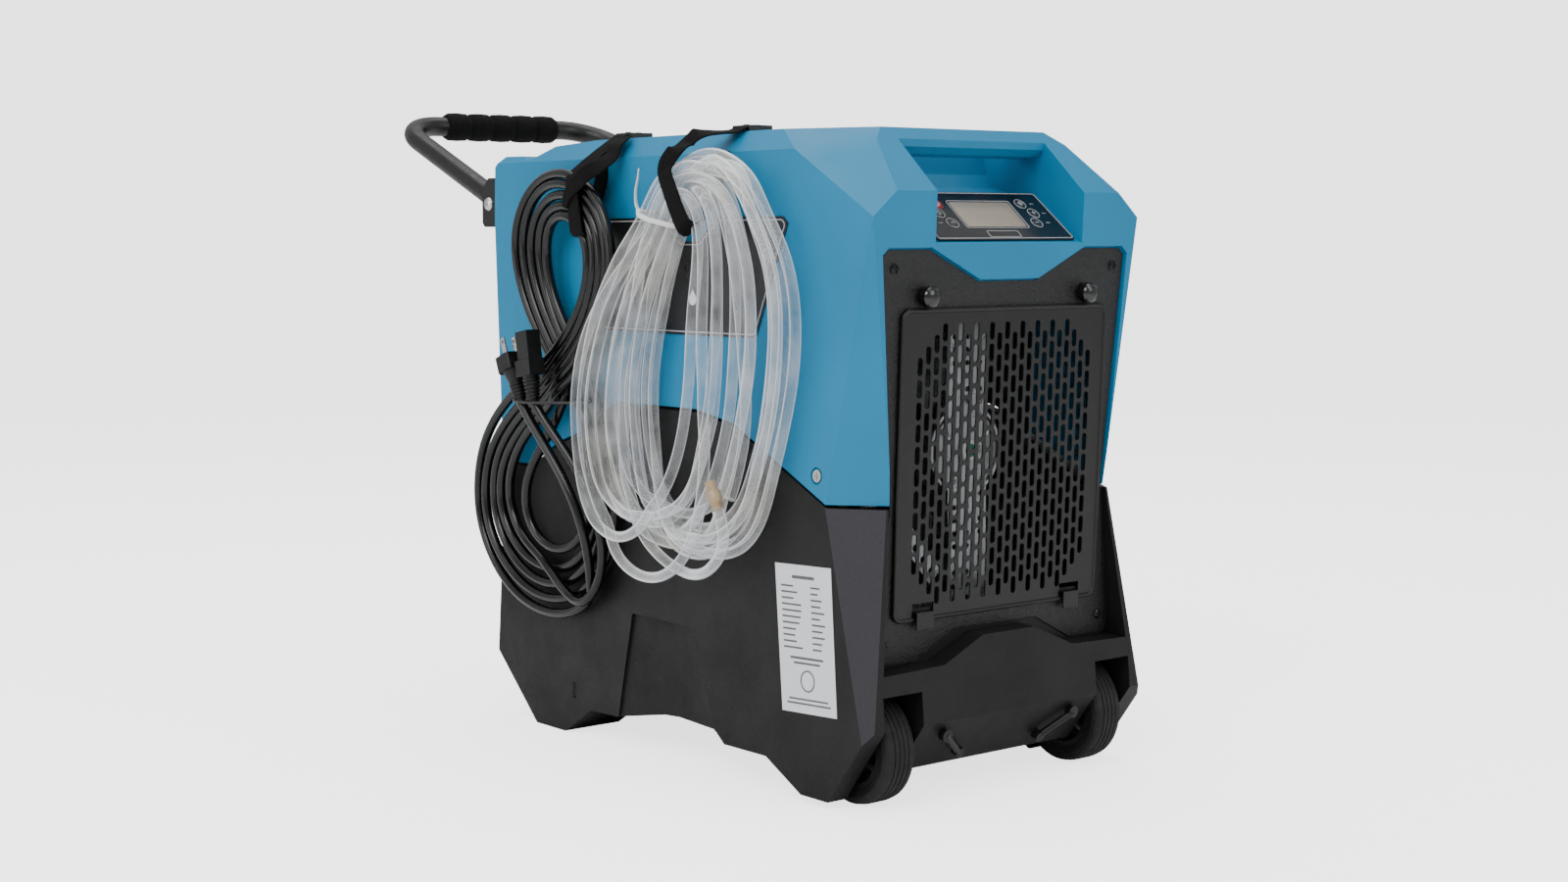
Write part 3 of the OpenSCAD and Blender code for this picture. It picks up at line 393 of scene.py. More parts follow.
class Mat:
    """A node material on Object coordinates, so its grain has a real size."""

    def __init__(self, name, color, rough=0.5, metal=0.0, **k):
        self.m = bpy.data.materials.new(name)
        self.m.use_nodes = True
        self.nt = self.m.node_tree
        self.nt.nodes.clear()
        self.out = self.node("ShaderNodeOutputMaterial")
        self.b = self.node("ShaderNodeBsdfPrincipled")
        self.link(self.b.outputs["BSDF"], self.out.inputs["Surface"])
        self.b.inputs["Base Color"].default_value = (*color[:3], 1)
        self.b.inputs["Roughness"].default_value = rough
        self.b.inputs["Metallic"].default_value = metal
        if "coat" in k:
            self.b.inputs["Coat Weight"].default_value = k["coat"]
            self.b.inputs["Coat Roughness"].default_value = k.get("coat_rough", 0.08)
        if "spec" in k:
            self.b.inputs["Specular IOR Level"].default_value = k["spec"]
        if "sheen" in k:
            self.b.inputs["Sheen Weight"].default_value = k["sheen"]
            self.b.inputs["Sheen Roughness"].default_value = 0.4
        self.tc = self.node("ShaderNodeTexCoord")
        self.color = color
        self.height = None
        self.m.diffuse_color = (*color[:3], 1)

    def node(self, kind, **k):
        n = self.nt.nodes.new(kind)
        for a, v in k.items():
            setattr(n, a, v)
        return n

    def link(self, a, b):
        self.nt.links.new(a, b)

    def noise(self, scale, detail=3.0, rough=0.5, distort=0.0, stretch=None):
        n = self.node("ShaderNodeTexNoise")
        n.inputs["Scale"].default_value = scale
        n.inputs["Detail"].default_value = detail
        n.inputs["Roughness"].default_value = rough
        n.inputs["Distortion"].default_value = distort
        if stretch:
            mp = self.node("ShaderNodeMapping")
            mp.inputs["Scale"].default_value = stretch
            self.link(self.tc.outputs["Object"], mp.inputs["Vector"])
            self.link(mp.outputs["Vector"], n.inputs["Vector"])
        else:
            self.link(self.tc.outputs["Object"], n.inputs["Vector"])
        return n.outputs["Fac"]

    def voronoi(self, scale, feature="F1", out="Distance"):
        n = self.node("ShaderNodeTexVoronoi", feature=feature)
        n.inputs["Scale"].default_value = scale
        self.link(self.tc.outputs["Object"], n.inputs["Vector"])
        return n.outputs[out]

    def ramp(self, fac, stops):
        n = self.node("ShaderNodeValToRGB")
        e = n.color_ramp.elements
        e[0].position, e[0].color = stops[0][0], (*([stops[0][1]] * 3 if not hasattr(stops[0][1], "__len__") else stops[0][1][:3]), 1)
        e[1].position, e[1].color = stops[-1][0], (*([stops[-1][1]] * 3 if not hasattr(stops[-1][1], "__len__") else stops[-1][1][:3]), 1)
        for p, c in stops[1:-1]:
            x = e.new(p)
            x.color = (*([c] * 3 if not hasattr(c, "__len__") else c[:3]), 1)
        self.link(fac, n.inputs["Fac"])
        return n.outputs["Color"]

    def mix(self, fac, a, b):
        n = self.node("ShaderNodeMix", data_type="RGBA")
        if hasattr(fac, "is_linked") or hasattr(fac, "links"):
            self.link(fac, n.inputs[0])
        else:
            n.inputs[0].default_value = fac
        for v, i in ((a, 6), (b, 7)):
            if hasattr(v, "links"):
                self.link(v, n.inputs[i])
            else:
                n.inputs[i].default_value = (*v[:3], 1)
        return n.outputs[2]

    def math(self, op, a, b=None):
        n = self.node("ShaderNodeMath", operation=op)
        for v, i in ((a, 0), (b, 1)):
            if v is None:
                continue
            if hasattr(v, "links"):
                self.link(v, n.inputs[i])
            else:
                n.inputs[i].default_value = v
        return n.outputs[0]

    def set(self, socket, v):
        self.link(v, self.b.inputs[socket])
        return self

    def bump(self, h, dist=0.0003, strength=0.5):
        n = self.node("ShaderNodeBump")
        n.inputs["Distance"].default_value = dist
        n.inputs["Strength"].default_value = strength
        self.link(h, n.inputs["Height"])
        if self.height is not None:
            self.link(self.height, n.inputs["Normal"])
        self.height = n.outputs["Normal"]
        for l in list(self.b.inputs["Normal"].links):
            self.nt.links.remove(l)
        self.link(self.height, self.b.inputs["Normal"])
        return self

    def vary(self, scale, amount, detail=4.0, base=None):
        c = base if base is not None else self.color
        f = self.noise(scale, detail, 0.55)
        f = self.ramp(f, [(0.3, 0.0), (0.7, 1.0)])
        a, b = shade(c, 1 - amount), shade(c, 1 + amount)
        o = self.mix(f, a, b)
        self.set("Base Color", o)
        self.col_out = o
        return self

    def rvary(self, scale, lo, hi, detail=3.0):
        f = self.noise(scale, detail)
        self.set("Roughness", self.ramp(f, [(0.3, lo), (0.7, hi)]))
        return self


def moulded(name, color, rough, grain=900, depth=0.00018, var=0.05, wear=None, strength=0.6):
    """Moulded plastic: fine leather-like grain, slow colour drift, patchy gloss, a few pale rubs."""
    m = Mat(name, color, rough)
    m.vary(9, var)
    m.rvary(22, rough - 0.07, rough + 0.09, 5)
    g = m.noise(grain, 4, 0.6)
    v = m.voronoi(grain * 0.75)
    m.bump(m.math("ADD", m.math("MULTIPLY", g, 0.6), m.math("MULTIPLY", v, 0.5)), depth, strength)
    m.bump(m.noise(26, 3), 0.0006, 0.12)
    if wear:
        s = m.noise(60, 6, 0.7, 1.5)
        t = m.noise(5.5, 2)
        f = m.math("MULTIPLY", m.ramp(s, [(0.68, 0.0), (0.8, 1.0)]), m.ramp(t, [(0.52, 0.0), (0.7, 0.3)]))
        m.set("Base Color", m.mix(f, m.col_out, wear))
        m.m["wear"] = 1
    return m


BLUE = [0.001, 0.185, 0.36]
blue = moulded("blue_shell", BLUE, 0.46, grain=1100, depth=0.00012, var=0.05, wear=[0.03, 0.26, 0.44])
blue.b.inputs["Specular IOR Level"].default_value = 0.36
base_black = moulded("black_base", [0.0052, 0.0049, 0.0051], 0.55, grain=850, depth=0.00022, var=0.14, wear=[0.016, 0.0155, 0.016], strength=0.8)
base_black.b.inputs["Specular IOR Level"].default_value = 0.3
# painted light: the flat corner face of the base, picked by the way it faces, is painted a lighter grey, finely
# speckled, the way it looks where it catches the light
geo = base_black.node("ShaderNodeNewGeometry")
for_corner = base_black.node("ShaderNodeVectorMath", operation="DOT_PRODUCT")
base_black.link(geo.outputs["Normal"], for_corner.inputs[0])
ga, gb, gc = Vector((-137, -15.2, 262)), Vector((-167.9, 30, 262)), Vector((-172.2, -18.6, 81))
gn = (gb - ga).cross(gc - ga).normalized()
if gn.dot(Vector((-1, -1, 0))) < 0:
    gn = -gn
for_corner.inputs[1].default_value = gn
painted_light_corner_mask = base_black.ramp(for_corner.outputs["Value"], [(0.965, 0.0), (0.985, 1.0)])
speck = base_black.ramp(base_black.voronoi(1500, out="Distance"), [(0.1, 1.0), (0.45, 0.35)])
old = base_black.b.inputs["Base Color"].links[0].from_socket
painted_light_corner_col = base_black.mix(speck, [0.018, 0.017, 0.021], [0.047, 0.044, 0.054])
base_black.set("Base Color", base_black.mix(painted_light_corner_mask, old, painted_light_corner_col))

powder = Mat("black_powder_coat", [0.0042, 0.0042, 0.0046], 0.38, spec=0.42)
powder.vary(30, 0.25)
powder.rvary(160, 0.3, 0.5)
pv = powder.noise(430, 3, 0.55)
powder.bump(powder.ramp(pv, [(0.35, 0.0), (0.65, 1.0)]), 0.00034, 0.85)
powder.bump(powder.noise(1500, 2), 0.00012, 0.5)

powder_fine = Mat("black_powder_coat_fine", [0.0048, 0.0046, 0.0046], 0.38, spec=0.4)
powder_fine.vary(40, 0.2)
powder_fine.bump(powder_fine.noise(1300, 3), 0.00014, 0.6)

tube_paint = Mat("handle_tube_paint", [0.0062, 0.0052, 0.005], 0.34, spec=0.45)
tube_paint.vary(18, 0.2)
tube_paint.rvary(90, 0.28, 0.46)
tube_paint.bump(tube_paint.noise(1000, 3), 0.00013, 0.6)

foam = Mat("grip_foam", [0.0034, 0.0034, 0.0035], 0.88, spec=0.16)
foam.vary(120, 0.3)
foam.bump(foam.voronoi(1300), 0.0003, 0.8)
foam.bump(foam.noise(300, 4), 0.0005, 0.35)


def metal(name, color, rough, scratch=True, stretch=(1, 1, 1)):
    m = Mat(name, color, rough, 1.0)
    m.vary(60, 0.1)
    m.rvary(180, rough - 0.08, rough + 0.12)
    if scratch:
        m.bump(m.noise(900, 4, 0.6, 0.0, stretch), 0.00006, 0.5)
    return m


zinc = metal("zinc_steel", [0.62, 0.62, 0.6], 0.28)
galv = metal("galvanised_steel", [0.6, 0.62, 0.64], 0.34)
gcell = galv.voronoi(150, out="Color")
galv.set("Roughness", galv.ramp(gcell, [(0.1, 0.24), (0.9, 0.5)]))
black_oxide = metal("black_oxide_steel", [0.035, 0.035, 0.037], 0.3)
copper = metal("drawn_copper", [0.66, 0.34, 0.2], 0.3)
brass = metal("plug_brass", [0.72, 0.56, 0.3], 0.26)
nickel = metal("plug_nickel", [0.72, 0.71, 0.68], 0.22)
fins = metal("aluminium_fins", [0.68, 0.7, 0.71], 0.42, stretch=(1, 1, 0.05))

knob = Mat("knob_black", [0.0025, 0.0025, 0.0027], 0.16, coat=0.4, coat_rough=0.05)
knob.vary(80, 0.2)
knob.rvary(120, 0.12, 0.24)
knob.bump(knob.noise(220, 4), 0.00008, 0.4)

bezel = Mat("bezel_gloss", [0.0035, 0.0036, 0.0042], 0.24, coat=0.15, coat_rough=0.12)
bezel.vary(60, 0.15)
bezel.rvary(35, 0.16, 0.3)
bezel.bump(bezel.noise(90, 4), 0.00005, 0.3)

lcd = Mat("lcd_glass", [0.3, 0.27, 0.2], 0.12, coat=0.6, coat_rough=0.03)
# painted reflection: the screen's tan tone is painted from lighter to darker along x, with a noisy edge, in place of a
# reflection wedge
lz = lcd.node("ShaderNodeSeparateXYZ")
lcd.link(lcd.tc.outputs["Object"], lz.inputs[0])
painted_reflection_grad = lcd.ramp(lcd.math("ADD", lcd.math("MULTIPLY", lz.outputs["X"], 3.0), lcd.math("MULTIPLY", lcd.noise(40, 2), 0.25)), [(0.05, [0.29, 0.255, 0.2]), (0.35, [0.22, 0.185, 0.135])])
lcd.set("Base Color", painted_reflection_grad)
lcd.bump(lcd.noise(500, 2), 0.00002, 0.2)
lcd_edge = Mat("lcd_border", [0.012, 0.012, 0.013], 0.2, coat=0.5)
lcd_edge.vary(100, 0.15)
lcd_edge.bump(lcd_edge.noise(400, 2), 0.00002, 0.2)

button_black = Mat("button_film_black", [0.009, 0.009, 0.01], 0.26, coat=0.3)
button_black.vary(200, 0.15)
button_black.bump(button_black.noise(600, 3), 0.00004, 0.3)
button_red = Mat("button_film_red", [0.33, 0.016, 0.014], 0.3, coat=0.3)
button_red.vary(200, 0.12)
button_red.bump(button_red.noise(600, 3), 0.00004, 0.3)
silver_ink = Mat("silver_ink", [0.42, 0.43, 0.44], 0.38)
silver_ink.vary(400, 0.1)
silver_ink.bump(silver_ink.noise(900, 2), 0.00003, 0.3)
red_ink = Mat("red_ink", [0.5, 0.03, 0.025], 0.4)
red_ink.vary(400, 0.1)
red_ink.bump(red_ink.noise(900, 2), 0.00003, 0.3)

hub = moulded("hub_black", [0.007, 0.007, 0.0073], 0.5, grain=900, depth=0.00015, var=0.12)
tyre = Mat("tyre_rubber", [0.011, 0.0105, 0.0108], 0.66, spec=0.3)
tyre.vary(35, 0.25)
tyre.rvary(70, 0.55, 0.8)
dust = tyre.ramp(tyre.noise(130, 6, 0.7), [(0.5, 0.0), (0.72, 0.6)])
tyre.set("Base Color", tyre.mix(dust, tyre.col_out, [0.028, 0.0265, 0.025]))
tyre.bump(tyre.noise(700, 4, 0.6), 0.0003, 0.6)

webbing = Mat("hook_and_loop", [0.0034, 0.0033, 0.0033], 0.92, spec=0.12, sheen=0.03)
webbing.vary(150, 0.3)
wv = webbing.voronoi(1250)
webbing.bump(webbing.math("ADD", webbing.math("MULTIPLY", wv, 0.7), webbing.math("MULTIPLY", webbing.noise(2200, 3, 0.7), 0.7)), 0.0004, 0.9)
keeper = moulded("keeper_black", [0.009, 0.009, 0.0095], 0.4, grain=1000, depth=0.0001, var=0.15)

jacket = Mat("cord_jacket", [0.0024, 0.0023, 0.0023], 0.19, spec=0.34, coat=0.2, coat_rough=0.1)
jacket.vary(28, 0.3)
jacket.rvary(45, 0.14, 0.3, 4)
jacket.bump(jacket.noise(140, 4), 0.00035, 0.25)
jacket.bump(jacket.noise(1200, 2), 0.00006, 0.35)
plug_pvc = Mat("plug_pvc", [0.0038, 0.0038, 0.0039], 0.42, spec=0.38)
plug_pvc.vary(60, 0.3)
plug_pvc.rvary(90, 0.34, 0.52)
plug_pvc.bump(plug_pvc.noise(1100, 3), 0.00012, 0.5)

# clear vinyl: see-through face on, milky where the wall is seen edge on
vinyl = Mat("clear_vinyl", [0.7, 0.73, 0.76], 0.1, spec=0.7, coat=0.7, coat_rough=0.04)
lw = vinyl.node("ShaderNodeLayerWeight")
lw.inputs["Blend"].default_value = 0.5
tint = vinyl.ramp(vinyl.noise(16, 4, 0.6), [(0.3, [0.62, 0.68, 0.75]), (0.5, [0.88, 0.9, 0.91]), (0.7, [0.9, 0.87, 0.79])])
streak = vinyl.noise(60, 4, 0.6, 0.4)
vinyl.set("Base Color", vinyl.mix(vinyl.ramp(streak, [(0.4, 0.0), (0.75, 0.5)]), tint, [0.97, 0.98, 1]))
# two pale lines where the wall is seen edge on, clear between them and at the very rim
alpha = vinyl.ramp(lw.outputs["Facing"], [(0.0, 0.1), (0.3, 0.15), (0.48, 0.32), (0.62, 0.92), (0.78, 0.75), (1.0, 0.5)])
av = vinyl.math("ADD", alpha, vinyl.math("MULTIPLY", vinyl.math("SUBTRACT", vinyl.noise(34, 4, 0.6), 0.5), 0.4))
vinyl.set("Alpha", av)
vinyl.rvary(60, 0.05, 0.16)
vinyl.bump(vinyl.noise(110, 3), 0.0003, 0.18)
nylon = Mat("white_nylon", [0.78, 0.79, 0.77], 0.38, spec=0.5)
nylon.vary(60, 0.05)
nylon.rvary(80, 0.3, 0.45)
nylon.bump(nylon.noise(500, 3), 0.00012, 0.4)
fit_mat = Mat("fitting_amber", [0.36, 0.25, 0.14], 0.3, coat=0.3)
fit_mat.vary(80, 0.2)
fit_mat.bump(fit_mat.noise(400, 3), 0.0001, 0.4)

paper = Mat("label_film", [0.72, 0.73, 0.76], 0.34, coat=0.15)
paper.vary(25, 0.025)
paper.rvary(30, 0.28, 0.4)
paper.bump(paper.noise(60, 3), 0.0001, 0.25)
ink = Mat("label_ink", [0.09, 0.09, 0.1], 0.5)
ink.vary(300, 0.15)
ink.bump(ink.noise(600, 2), 0.00002, 0.2)
plate_mat = Mat("plate_film", [0.009, 0.009, 0.0105], 0.3, coat=0.2, coat_rough=0.15)
plate_mat.vary(40, 0.15)
plate_mat.rvary(40, 0.25, 0.4)
plate_mat.bump(plate_mat.noise(300, 3), 0.00005, 0.3)
fan_black = moulded("fan_black", [0.012, 0.012, 0.0125], 0.46, grain=700, depth=0.0001, var=0.1)
paint_black = Mat("compressor_paint", [0.008, 0.008, 0.0085], 0.25, coat=0.3)
paint_black.vary(40, 0.2)
paint_black.bump(paint_black.noise(160, 4), 0.0002, 0.3)
rubber = Mat("mount_rubber", [0.012, 0.012, 0.012], 0.75)
rubber.vary(80, 0.2)
rubber.bump(rubber.noise(600, 3), 0.0002, 0.4)
pump_grey = moulded("pump_grey", [0.05, 0.055, 0.062], 0.45, grain=800, depth=0.0001)
board = Mat("board_green", [0.012, 0.13, 0.05], 0.35, coat=0.3)
board.vary(200, 0.25)
board.bump(board.noise(700, 3), 0.0001, 0.4)
drain_white = moulded("drain_white", [0.62, 0.62, 0.6], 0.4, grain=900, depth=0.00008, var=0.03)
motor_metal = metal("motor_case", [0.5, 0.51, 0.52], 0.36)
sticker_white = Mat("sticker_white", [0.75, 0.77, 0.76], 0.4)
sticker_white.vary(90, 0.04)
sticker_white.bump(sticker_white.noise(400, 2), 0.00003, 0.2)
sticker_green = Mat("sticker_green", [0.02, 0.28, 0.13], 0.4)
sticker_green.vary(90, 0.08)
sticker_green.bump(sticker_green.noise(400, 2), 0.00003, 0.2)

LOOK = {
    "upper_housing": blue, "lower_housing": base_black, "front_panel": powder, "inlet_grille": powder_fine, "grille_rim": powder_fine,
    "grille_clips": powder_fine, "panel_screws": black_oxide, "housing_screws": zinc, "thumbscrew_left": knob, "thumbscrew_right": knob,
    "control_bezel": bezel, "lcd_window": lcd_edge, "button_power": button_red, "axle": zinc, "axle_washers": zinc, "axle_braces": powder_fine,
    "wheel_hub_left": hub, "wheel_hub_right": hub, "tyre_left": tyre, "tyre_right": tyre, "handle_tube": tube_paint, "handle_grip": foam,
    "handle_brackets": powder_fine, "handle_bolts": zinc, "strap_anchors": keeper, "cord_plug": plug_pvc, "plug_blades": nickel,
    "cord_connector": plug_pvc, "rating_label": paper, "side_plate": plate_mat, "outlet_grille": base_black, "power_inlet": keeper,
    "drain_outlet": drain_white, "base_pan": galv, "fan_strap": galv, "fan_motor": motor_metal, "fan_impeller": fan_black,
    "fan_shroud": fan_black, "evaporator_coil": fins, "condenser_coil": fins, "compressor": paint_black, "compressor_mounts": rubber,
    "accumulator": paint_black, "refrigerant_pipes": copper, "condensate_pump": pump_grey, "run_capacitor": zinc, "control_board": board,
    "hose_fitting": fit_mat, "hose_tie": nylon, "cord_tie": keeper, "strap_cord": webbing, "strap_hose": webbing, "cord_hank": jacket, "hose_coil": vinyl,
}
for n in ("button_left_upper", "button_left_lower", "button_right_top", "button_right_upper", "button_right_lower"):
    LOOK[n] = button_black
for n, o in N.items():
    o.data.materials.clear()
    o.data.materials.append(LOOK[n].m)


# ------------------------------------------------------------------ rounded edges on the moulded and formed CAD nodes
def soften(node, width, segs=3, angle=22, dissolve=True, sharp_only=None):
    o = N[node]
    w = o.modifiers.new("weld", "WELD")
    w.merge_threshold = 0.00002
    if dissolve:
        dm = o.modifiers.new("flat", "DECIMATE")
        dm.decimate_type = "DISSOLVE"
        dm.angle_limit = math.radians(1.0)
    b = o.modifiers.new("round", "BEVEL")
    b.width = width
    b.segments = segs
    b.limit_method = "ANGLE"
    b.angle_limit = math.radians(angle)
    b.use_clamp_overlap = True
    b.harden_normals = False
    b.miter_outer = "MITER_ARC"
    wn = o.modifiers.new("normals", "WEIGHTED_NORMAL")
    wn.keep_sharp = False
    wn.weight = 60
    for p in o.data.polygons:
        p.use_smooth = True


for n, wd in (("upper_housing", 0.0035), ("lower_housing", 0.0032), ("front_panel", 0.0005), ("handle_brackets", 0.0012), ("cord_plug", 0.0014),
              ("cord_connector", 0.0013), ("strap_anchors", 0.0006), ("control_bezel", 0.0005), ("outlet_grille", 0.0005), ("power_inlet", 0.0005),
              ("grille_clips", 0.0004), ("fan_strap", 0.0003), ("condensate_pump", 0.002)):
    soften(n, wd, 4 if wd > 0.002 else 2)


# ------------------------------------------------------------------ making pieces
def add_mesh(name, verts, faces, mat, body="shell", slot=None, smooth=True):
    me = bpy.data.meshes.new(name)
    me.from_pydata([tuple(v) for v in verts], [], faces)
    me.validate()
    if smooth:
        for p in me.polygons:
            p.use_smooth = True
    o = bpy.data.objects.new(name, me)
    bpy.context.scene.collection.objects.link(o)
    me.materials.append(mat.m)
    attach(o, body)
    bm = bmesh.new()
    bm.from_mesh(me)
    bmesh.ops.recalc_face_normals(bm, faces=bm.faces)
    bm.to_mesh(me)
    bm.free()
    return o


def tube(name, pts, radius, mat, body="shell", slot=None, closed=False, sides=10):
    """A round wire or moulding along points, as a mesh."""
    P = [Vector(p) for p in pts]
    n = len(P)
    V, F = [], []
    prev = None
    for i in range(n):
        a = P[i - 1] if (i or closed) else P[i]
        b = P[(i + 1) % n] if (i < n - 1 or closed) else P[i]
        t = (b - a).normalized()
        if prev is None:
            up = Vector((0, 0, 1)) if abs(t.z) < 0.9 else Vector((0, 1, 0))
            x = t.cross(up).normalized()
        else:
            x = (prev - t * prev.dot(t)).normalized()
        prev = x
        y = t.cross(x)
        rr = radius[i] if hasattr(radius, "__len__") else radius
        for k in range(sides):
            an = 2 * math.pi * k / sides
            V.append(P[i] + (x * math.cos(an) + y * math.sin(an)) * rr)
    m = n if closed else n - 1
    for i in range(m):
        for k in range(sides):
            a, b = i * sides + k, i * sides + (k + 1) % sides
            c, e = ((i + 1) % n) * sides + (k + 1) % sides, ((i + 1) % n) * sides + k
            F.append((a, b, c, e))
    if not closed:
        F.append(tuple(range(sides))[::-1])
        F.append(tuple((n - 1) * sides + k for k in range(sides)))
    return add_mesh(name, V, F, mat, body, slot)


def smooth_path(pts, step=2.0):
    return [Vector(p) for p in catmull(np.array(pts, float), step)]


def ribbon(name, centre, side, width, thick, mat, body="shell", slot=None, taper_end=True):
    """A strap: centre points and the direction across it at each, in mm in the drawing frame."""
    C = catmull(np.array(centre, float), 2.0)
    S0 = np.array(side, float)
    tt = np.linspace(0, 1, len(S0))
    s = np.linspace(0, 1, len(C))
    S = np.stack([np.interp(s, tt, S0[:, k]) for k in range(3)], 1)
    W = np.interp(s, np.linspace(0, 1, len(width)), width) if hasattr(width, "__len__") else np.full(len(C), width)
    V, F = [], []
    prof = [(-0.5, 0.0), (-0.47, 0.42), (-0.4, 0.5), (-0.2, 0.53), (0.0, 0.54), (0.2, 0.53), (0.4, 0.5), (0.47, 0.42), (0.5, 0.0), (0.47, -0.42), (0.4, -0.5), (0.0, -0.52), (-0.4, -0.5), (-0.47, -0.42)]
    k = len(prof)
    for i in range(len(C)):
        t = C[min(i + 1, len(C) - 1)] - C[max(i - 1, 0)]
        t /= np.linalg.norm(t)
        a = S[i] - t * S[i].dot(t)
        a /= np.linalg.norm(a)
        n = np.cross(t, a)
        wv = W[i] + 0.35 * math.sin(i * 0.55) * 0.5
        for px, pz in prof:
            p = C[i] + a * px * wv + n * pz * thick * (1 + 0.06 * math.sin(i * 0.9 + px * 6))
            V.append(D(*p))
    for i in range(len(C) - 1):
        for j in range(k):
            F.append((i * k + j, i * k + (j + 1) % k, (i + 1) * k + (j + 1) % k, (i + 1) * k + j))
    F.append(tuple(range(k))[::-1])
    F.append(tuple((len(C) - 1) * k + j for j in range(k)))
    o = add_mesh(name, V, F, mat, body, slot)
    sb = o.modifiers.new("smooth", "SUBSURF")
    sb.levels = sb.render_levels = 1
    return o


def revolve(name, origin, axis, prof, mat, body="shell", slot=None, seg=32, squash=1.0):
    """prof is (radius, height) in mm along axis, from origin in mm in the drawing frame."""
    ax = Vector(axis).normalized()
    x = ax.orthogonal().normalized()
    y = ax.cross(x)
    O = D(*origin)
    V, F = [], []
    for rr, h in prof:
        for k in range(seg):
            a = 2 * math.pi * k / seg
            V.append(O + ax * h * MM + (x * math.cos(a) + y * math.sin(a) * squash) * rr * MM)
    for i in range(len(prof) - 1):
        for k in range(seg):
            F.append((i * seg + k, i * seg + (k + 1) % seg, (i + 1) * seg + (k + 1) % seg, (i + 1) * seg + k))
    if prof[0][0] > 1e-4:
        F.append(tuple(range(seg))[::-1])
    if prof[-1][0] > 1e-4:
        F.append(tuple((len(prof) - 1) * seg + k for k in range(seg)))
    return add_mesh(name, V, F, mat, body, slot)


# cord and hose
for o, m_, sl in ((power_lead, jacket, "cord_jacket"), (drain_hose, vinyl, "hose_clear")):
    o.data.materials.append(m_.m)
    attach(o, "shell")
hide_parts("cord_hank")
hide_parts("hose_coil")

def crossings(paths, point, normal, near):
    """Where the strands pass through a plane, near its point."""
    o_, n_ = np.array(point, float), np.array(normal, float)
    n_ /= np.linalg.norm(n_)
    out = []
    for p in paths:
        h = (p - o_) @ n_
        for i in np.nonzero(h[:-1] * h[1:] < 0)[0]:
            q = p[i] + (p[i + 1] - p[i]) * h[i] / (h[i] - h[i + 1])
            if np.linalg.norm(q - o_) < near:
                out.append(q)
    return out


def hull2(P):
    P = sorted(set((round(float(a), 3), round(float(b), 3)) for a, b in P))
    def half(Q):
        h = []
        for q in Q:
            while len(h) > 1 and (h[-1][0] - h[-2][0]) * (q[1] - h[-2][1]) - (h[-1][1] - h[-2][1]) * (q[0] - h[-2][0]) <= 0:
                h.pop()
            h.append(q)
        return h[:-1]
    return half(P) + half(P[::-1])


def around(paths, point, ex, ey, rad, near, extra=()):
    """Outline, in the plane's own axes, of a band drawn tight round the strands."""
    ex, ey = np.array(ex, float), np.array(ey, float)
    o_ = np.array(point, float)
    pts = list(extra)
    for q in crossings(paths, point, np.cross(ex, ey), near):
        u0, v0 = (q - o_) @ ex, (q - o_) @ ey
        pts += [(u0 + rad * math.cos(t), v0 + rad * math.sin(t)) for t in np.linspace(0, 2 * math.pi, 17)[:-1]]
    return hull2(pts)


def strap_line(paths, y, rad, near, zc_, top, wall_z, lean=0.0):
    """Centre line of a strap: from its anchor over the edge, round the bundle and back up the wall."""
    h = around(paths, (-188, y, zc_), (1, 0, 0), (0, 0, 1), rad, near)
    pts = [(u0 - 188, v0 + zc_) for u0, v0 in h]
    start = (-148.8, 590.2)
    full = hull2(pts + [start])
    i0 = min(range(len(full)), key=lambda i: math.hypot(full[i][0] - start[0], full[i][1] - start[1]))
    loop = full[i0:] + full[:i0]
    i1 = max(range(1, len(loop)), key=lambda i: loop[i][0])
    out = loop[:i1 + 1] + [(0.0, z_) for z_ in (552, 562, 573) if z_ > loop[i1][1] + 4]
    # a band can't dig into the wall on its way up
    return [(-121, y, top), (-136, y, top + 0.2), (-144.5, y, top - 0.2)] + [(min(x_, wall_x(z_) - 1.2) if z_ < 574 else x_, y, z_) for x_, z_ in out]


# straps of hook-and-loop tape
Y1 = (0, 1, 0)
sway = lambda P, amp: [(x_, y_ + amp * math.sin(min(max((592 - z_) / 76, 0), 1) * math.pi) * min(1.0, max(0.0, (-x_ - 160) / 40)), z_) for x_, y_, z_ in P]
# the hose strap lies square to the bundle, which climbs forwards at this point
so_, sv_, sn_ = np.array([-188.0, 202, 541]), np.array([0, 0.6, 0.8]), np.array([0, -0.8, 0.6])
sp_ = []
for w_ in (-8, 0, 8, 16):
    for q_ in crossings([hose_p], so_ + sn_ * w_, sn_, 48):
        sp_ += [((q_ - so_)[0] + (HR + 1.3) * math.cos(t), (q_ - so_) @ sv_ + (HR + 1.3) * math.sin(t)) for t in np.linspace(0, 2 * math.pi, 17)[:-1]]
edge_ = np.array([-148.8, 178.0, 590.2])
e2_ = (float((edge_ - so_)[0]), float((edge_ - so_) @ sv_))
ring_ = hull2(sp_ + [e2_])
i0 = min(range(len(ring_)), key=lambda i: math.hypot(ring_[i][0] - e2_[0], ring_[i][1] - e2_[1]))
ring_ = ring_[i0:] + ring_[:i0]
iw = max(range(1, len(ring_)), key=lambda i: ring_[i][0])
il = min(range(len(ring_)), key=lambda i: ring_[i][0])
ring_ = ring_[:iw + 1]
line_a = [(-121, 176, 593), (-136, 176, 593.2), (-144.5, 176.6, 592.8)]
w0 = float((edge_ - so_) @ sn_)
for i, (u0, v0) in enumerate(ring_):
    g_ = (1 - min(i / max(il, 1), 1.0)) ** 1.6
    p_ = so_ + np.array([u0, 0, 0]) + sv_ * v0 + sn_ * (w0 * g_)
    if i == 0:
        p_ = edge_
    line_a.append((min(p_[0], wall_x(p_[2]) - 1.2) if p_[2] < 574 else p_[0], p_[1], p_[2]))
last_ = line_a[-1]
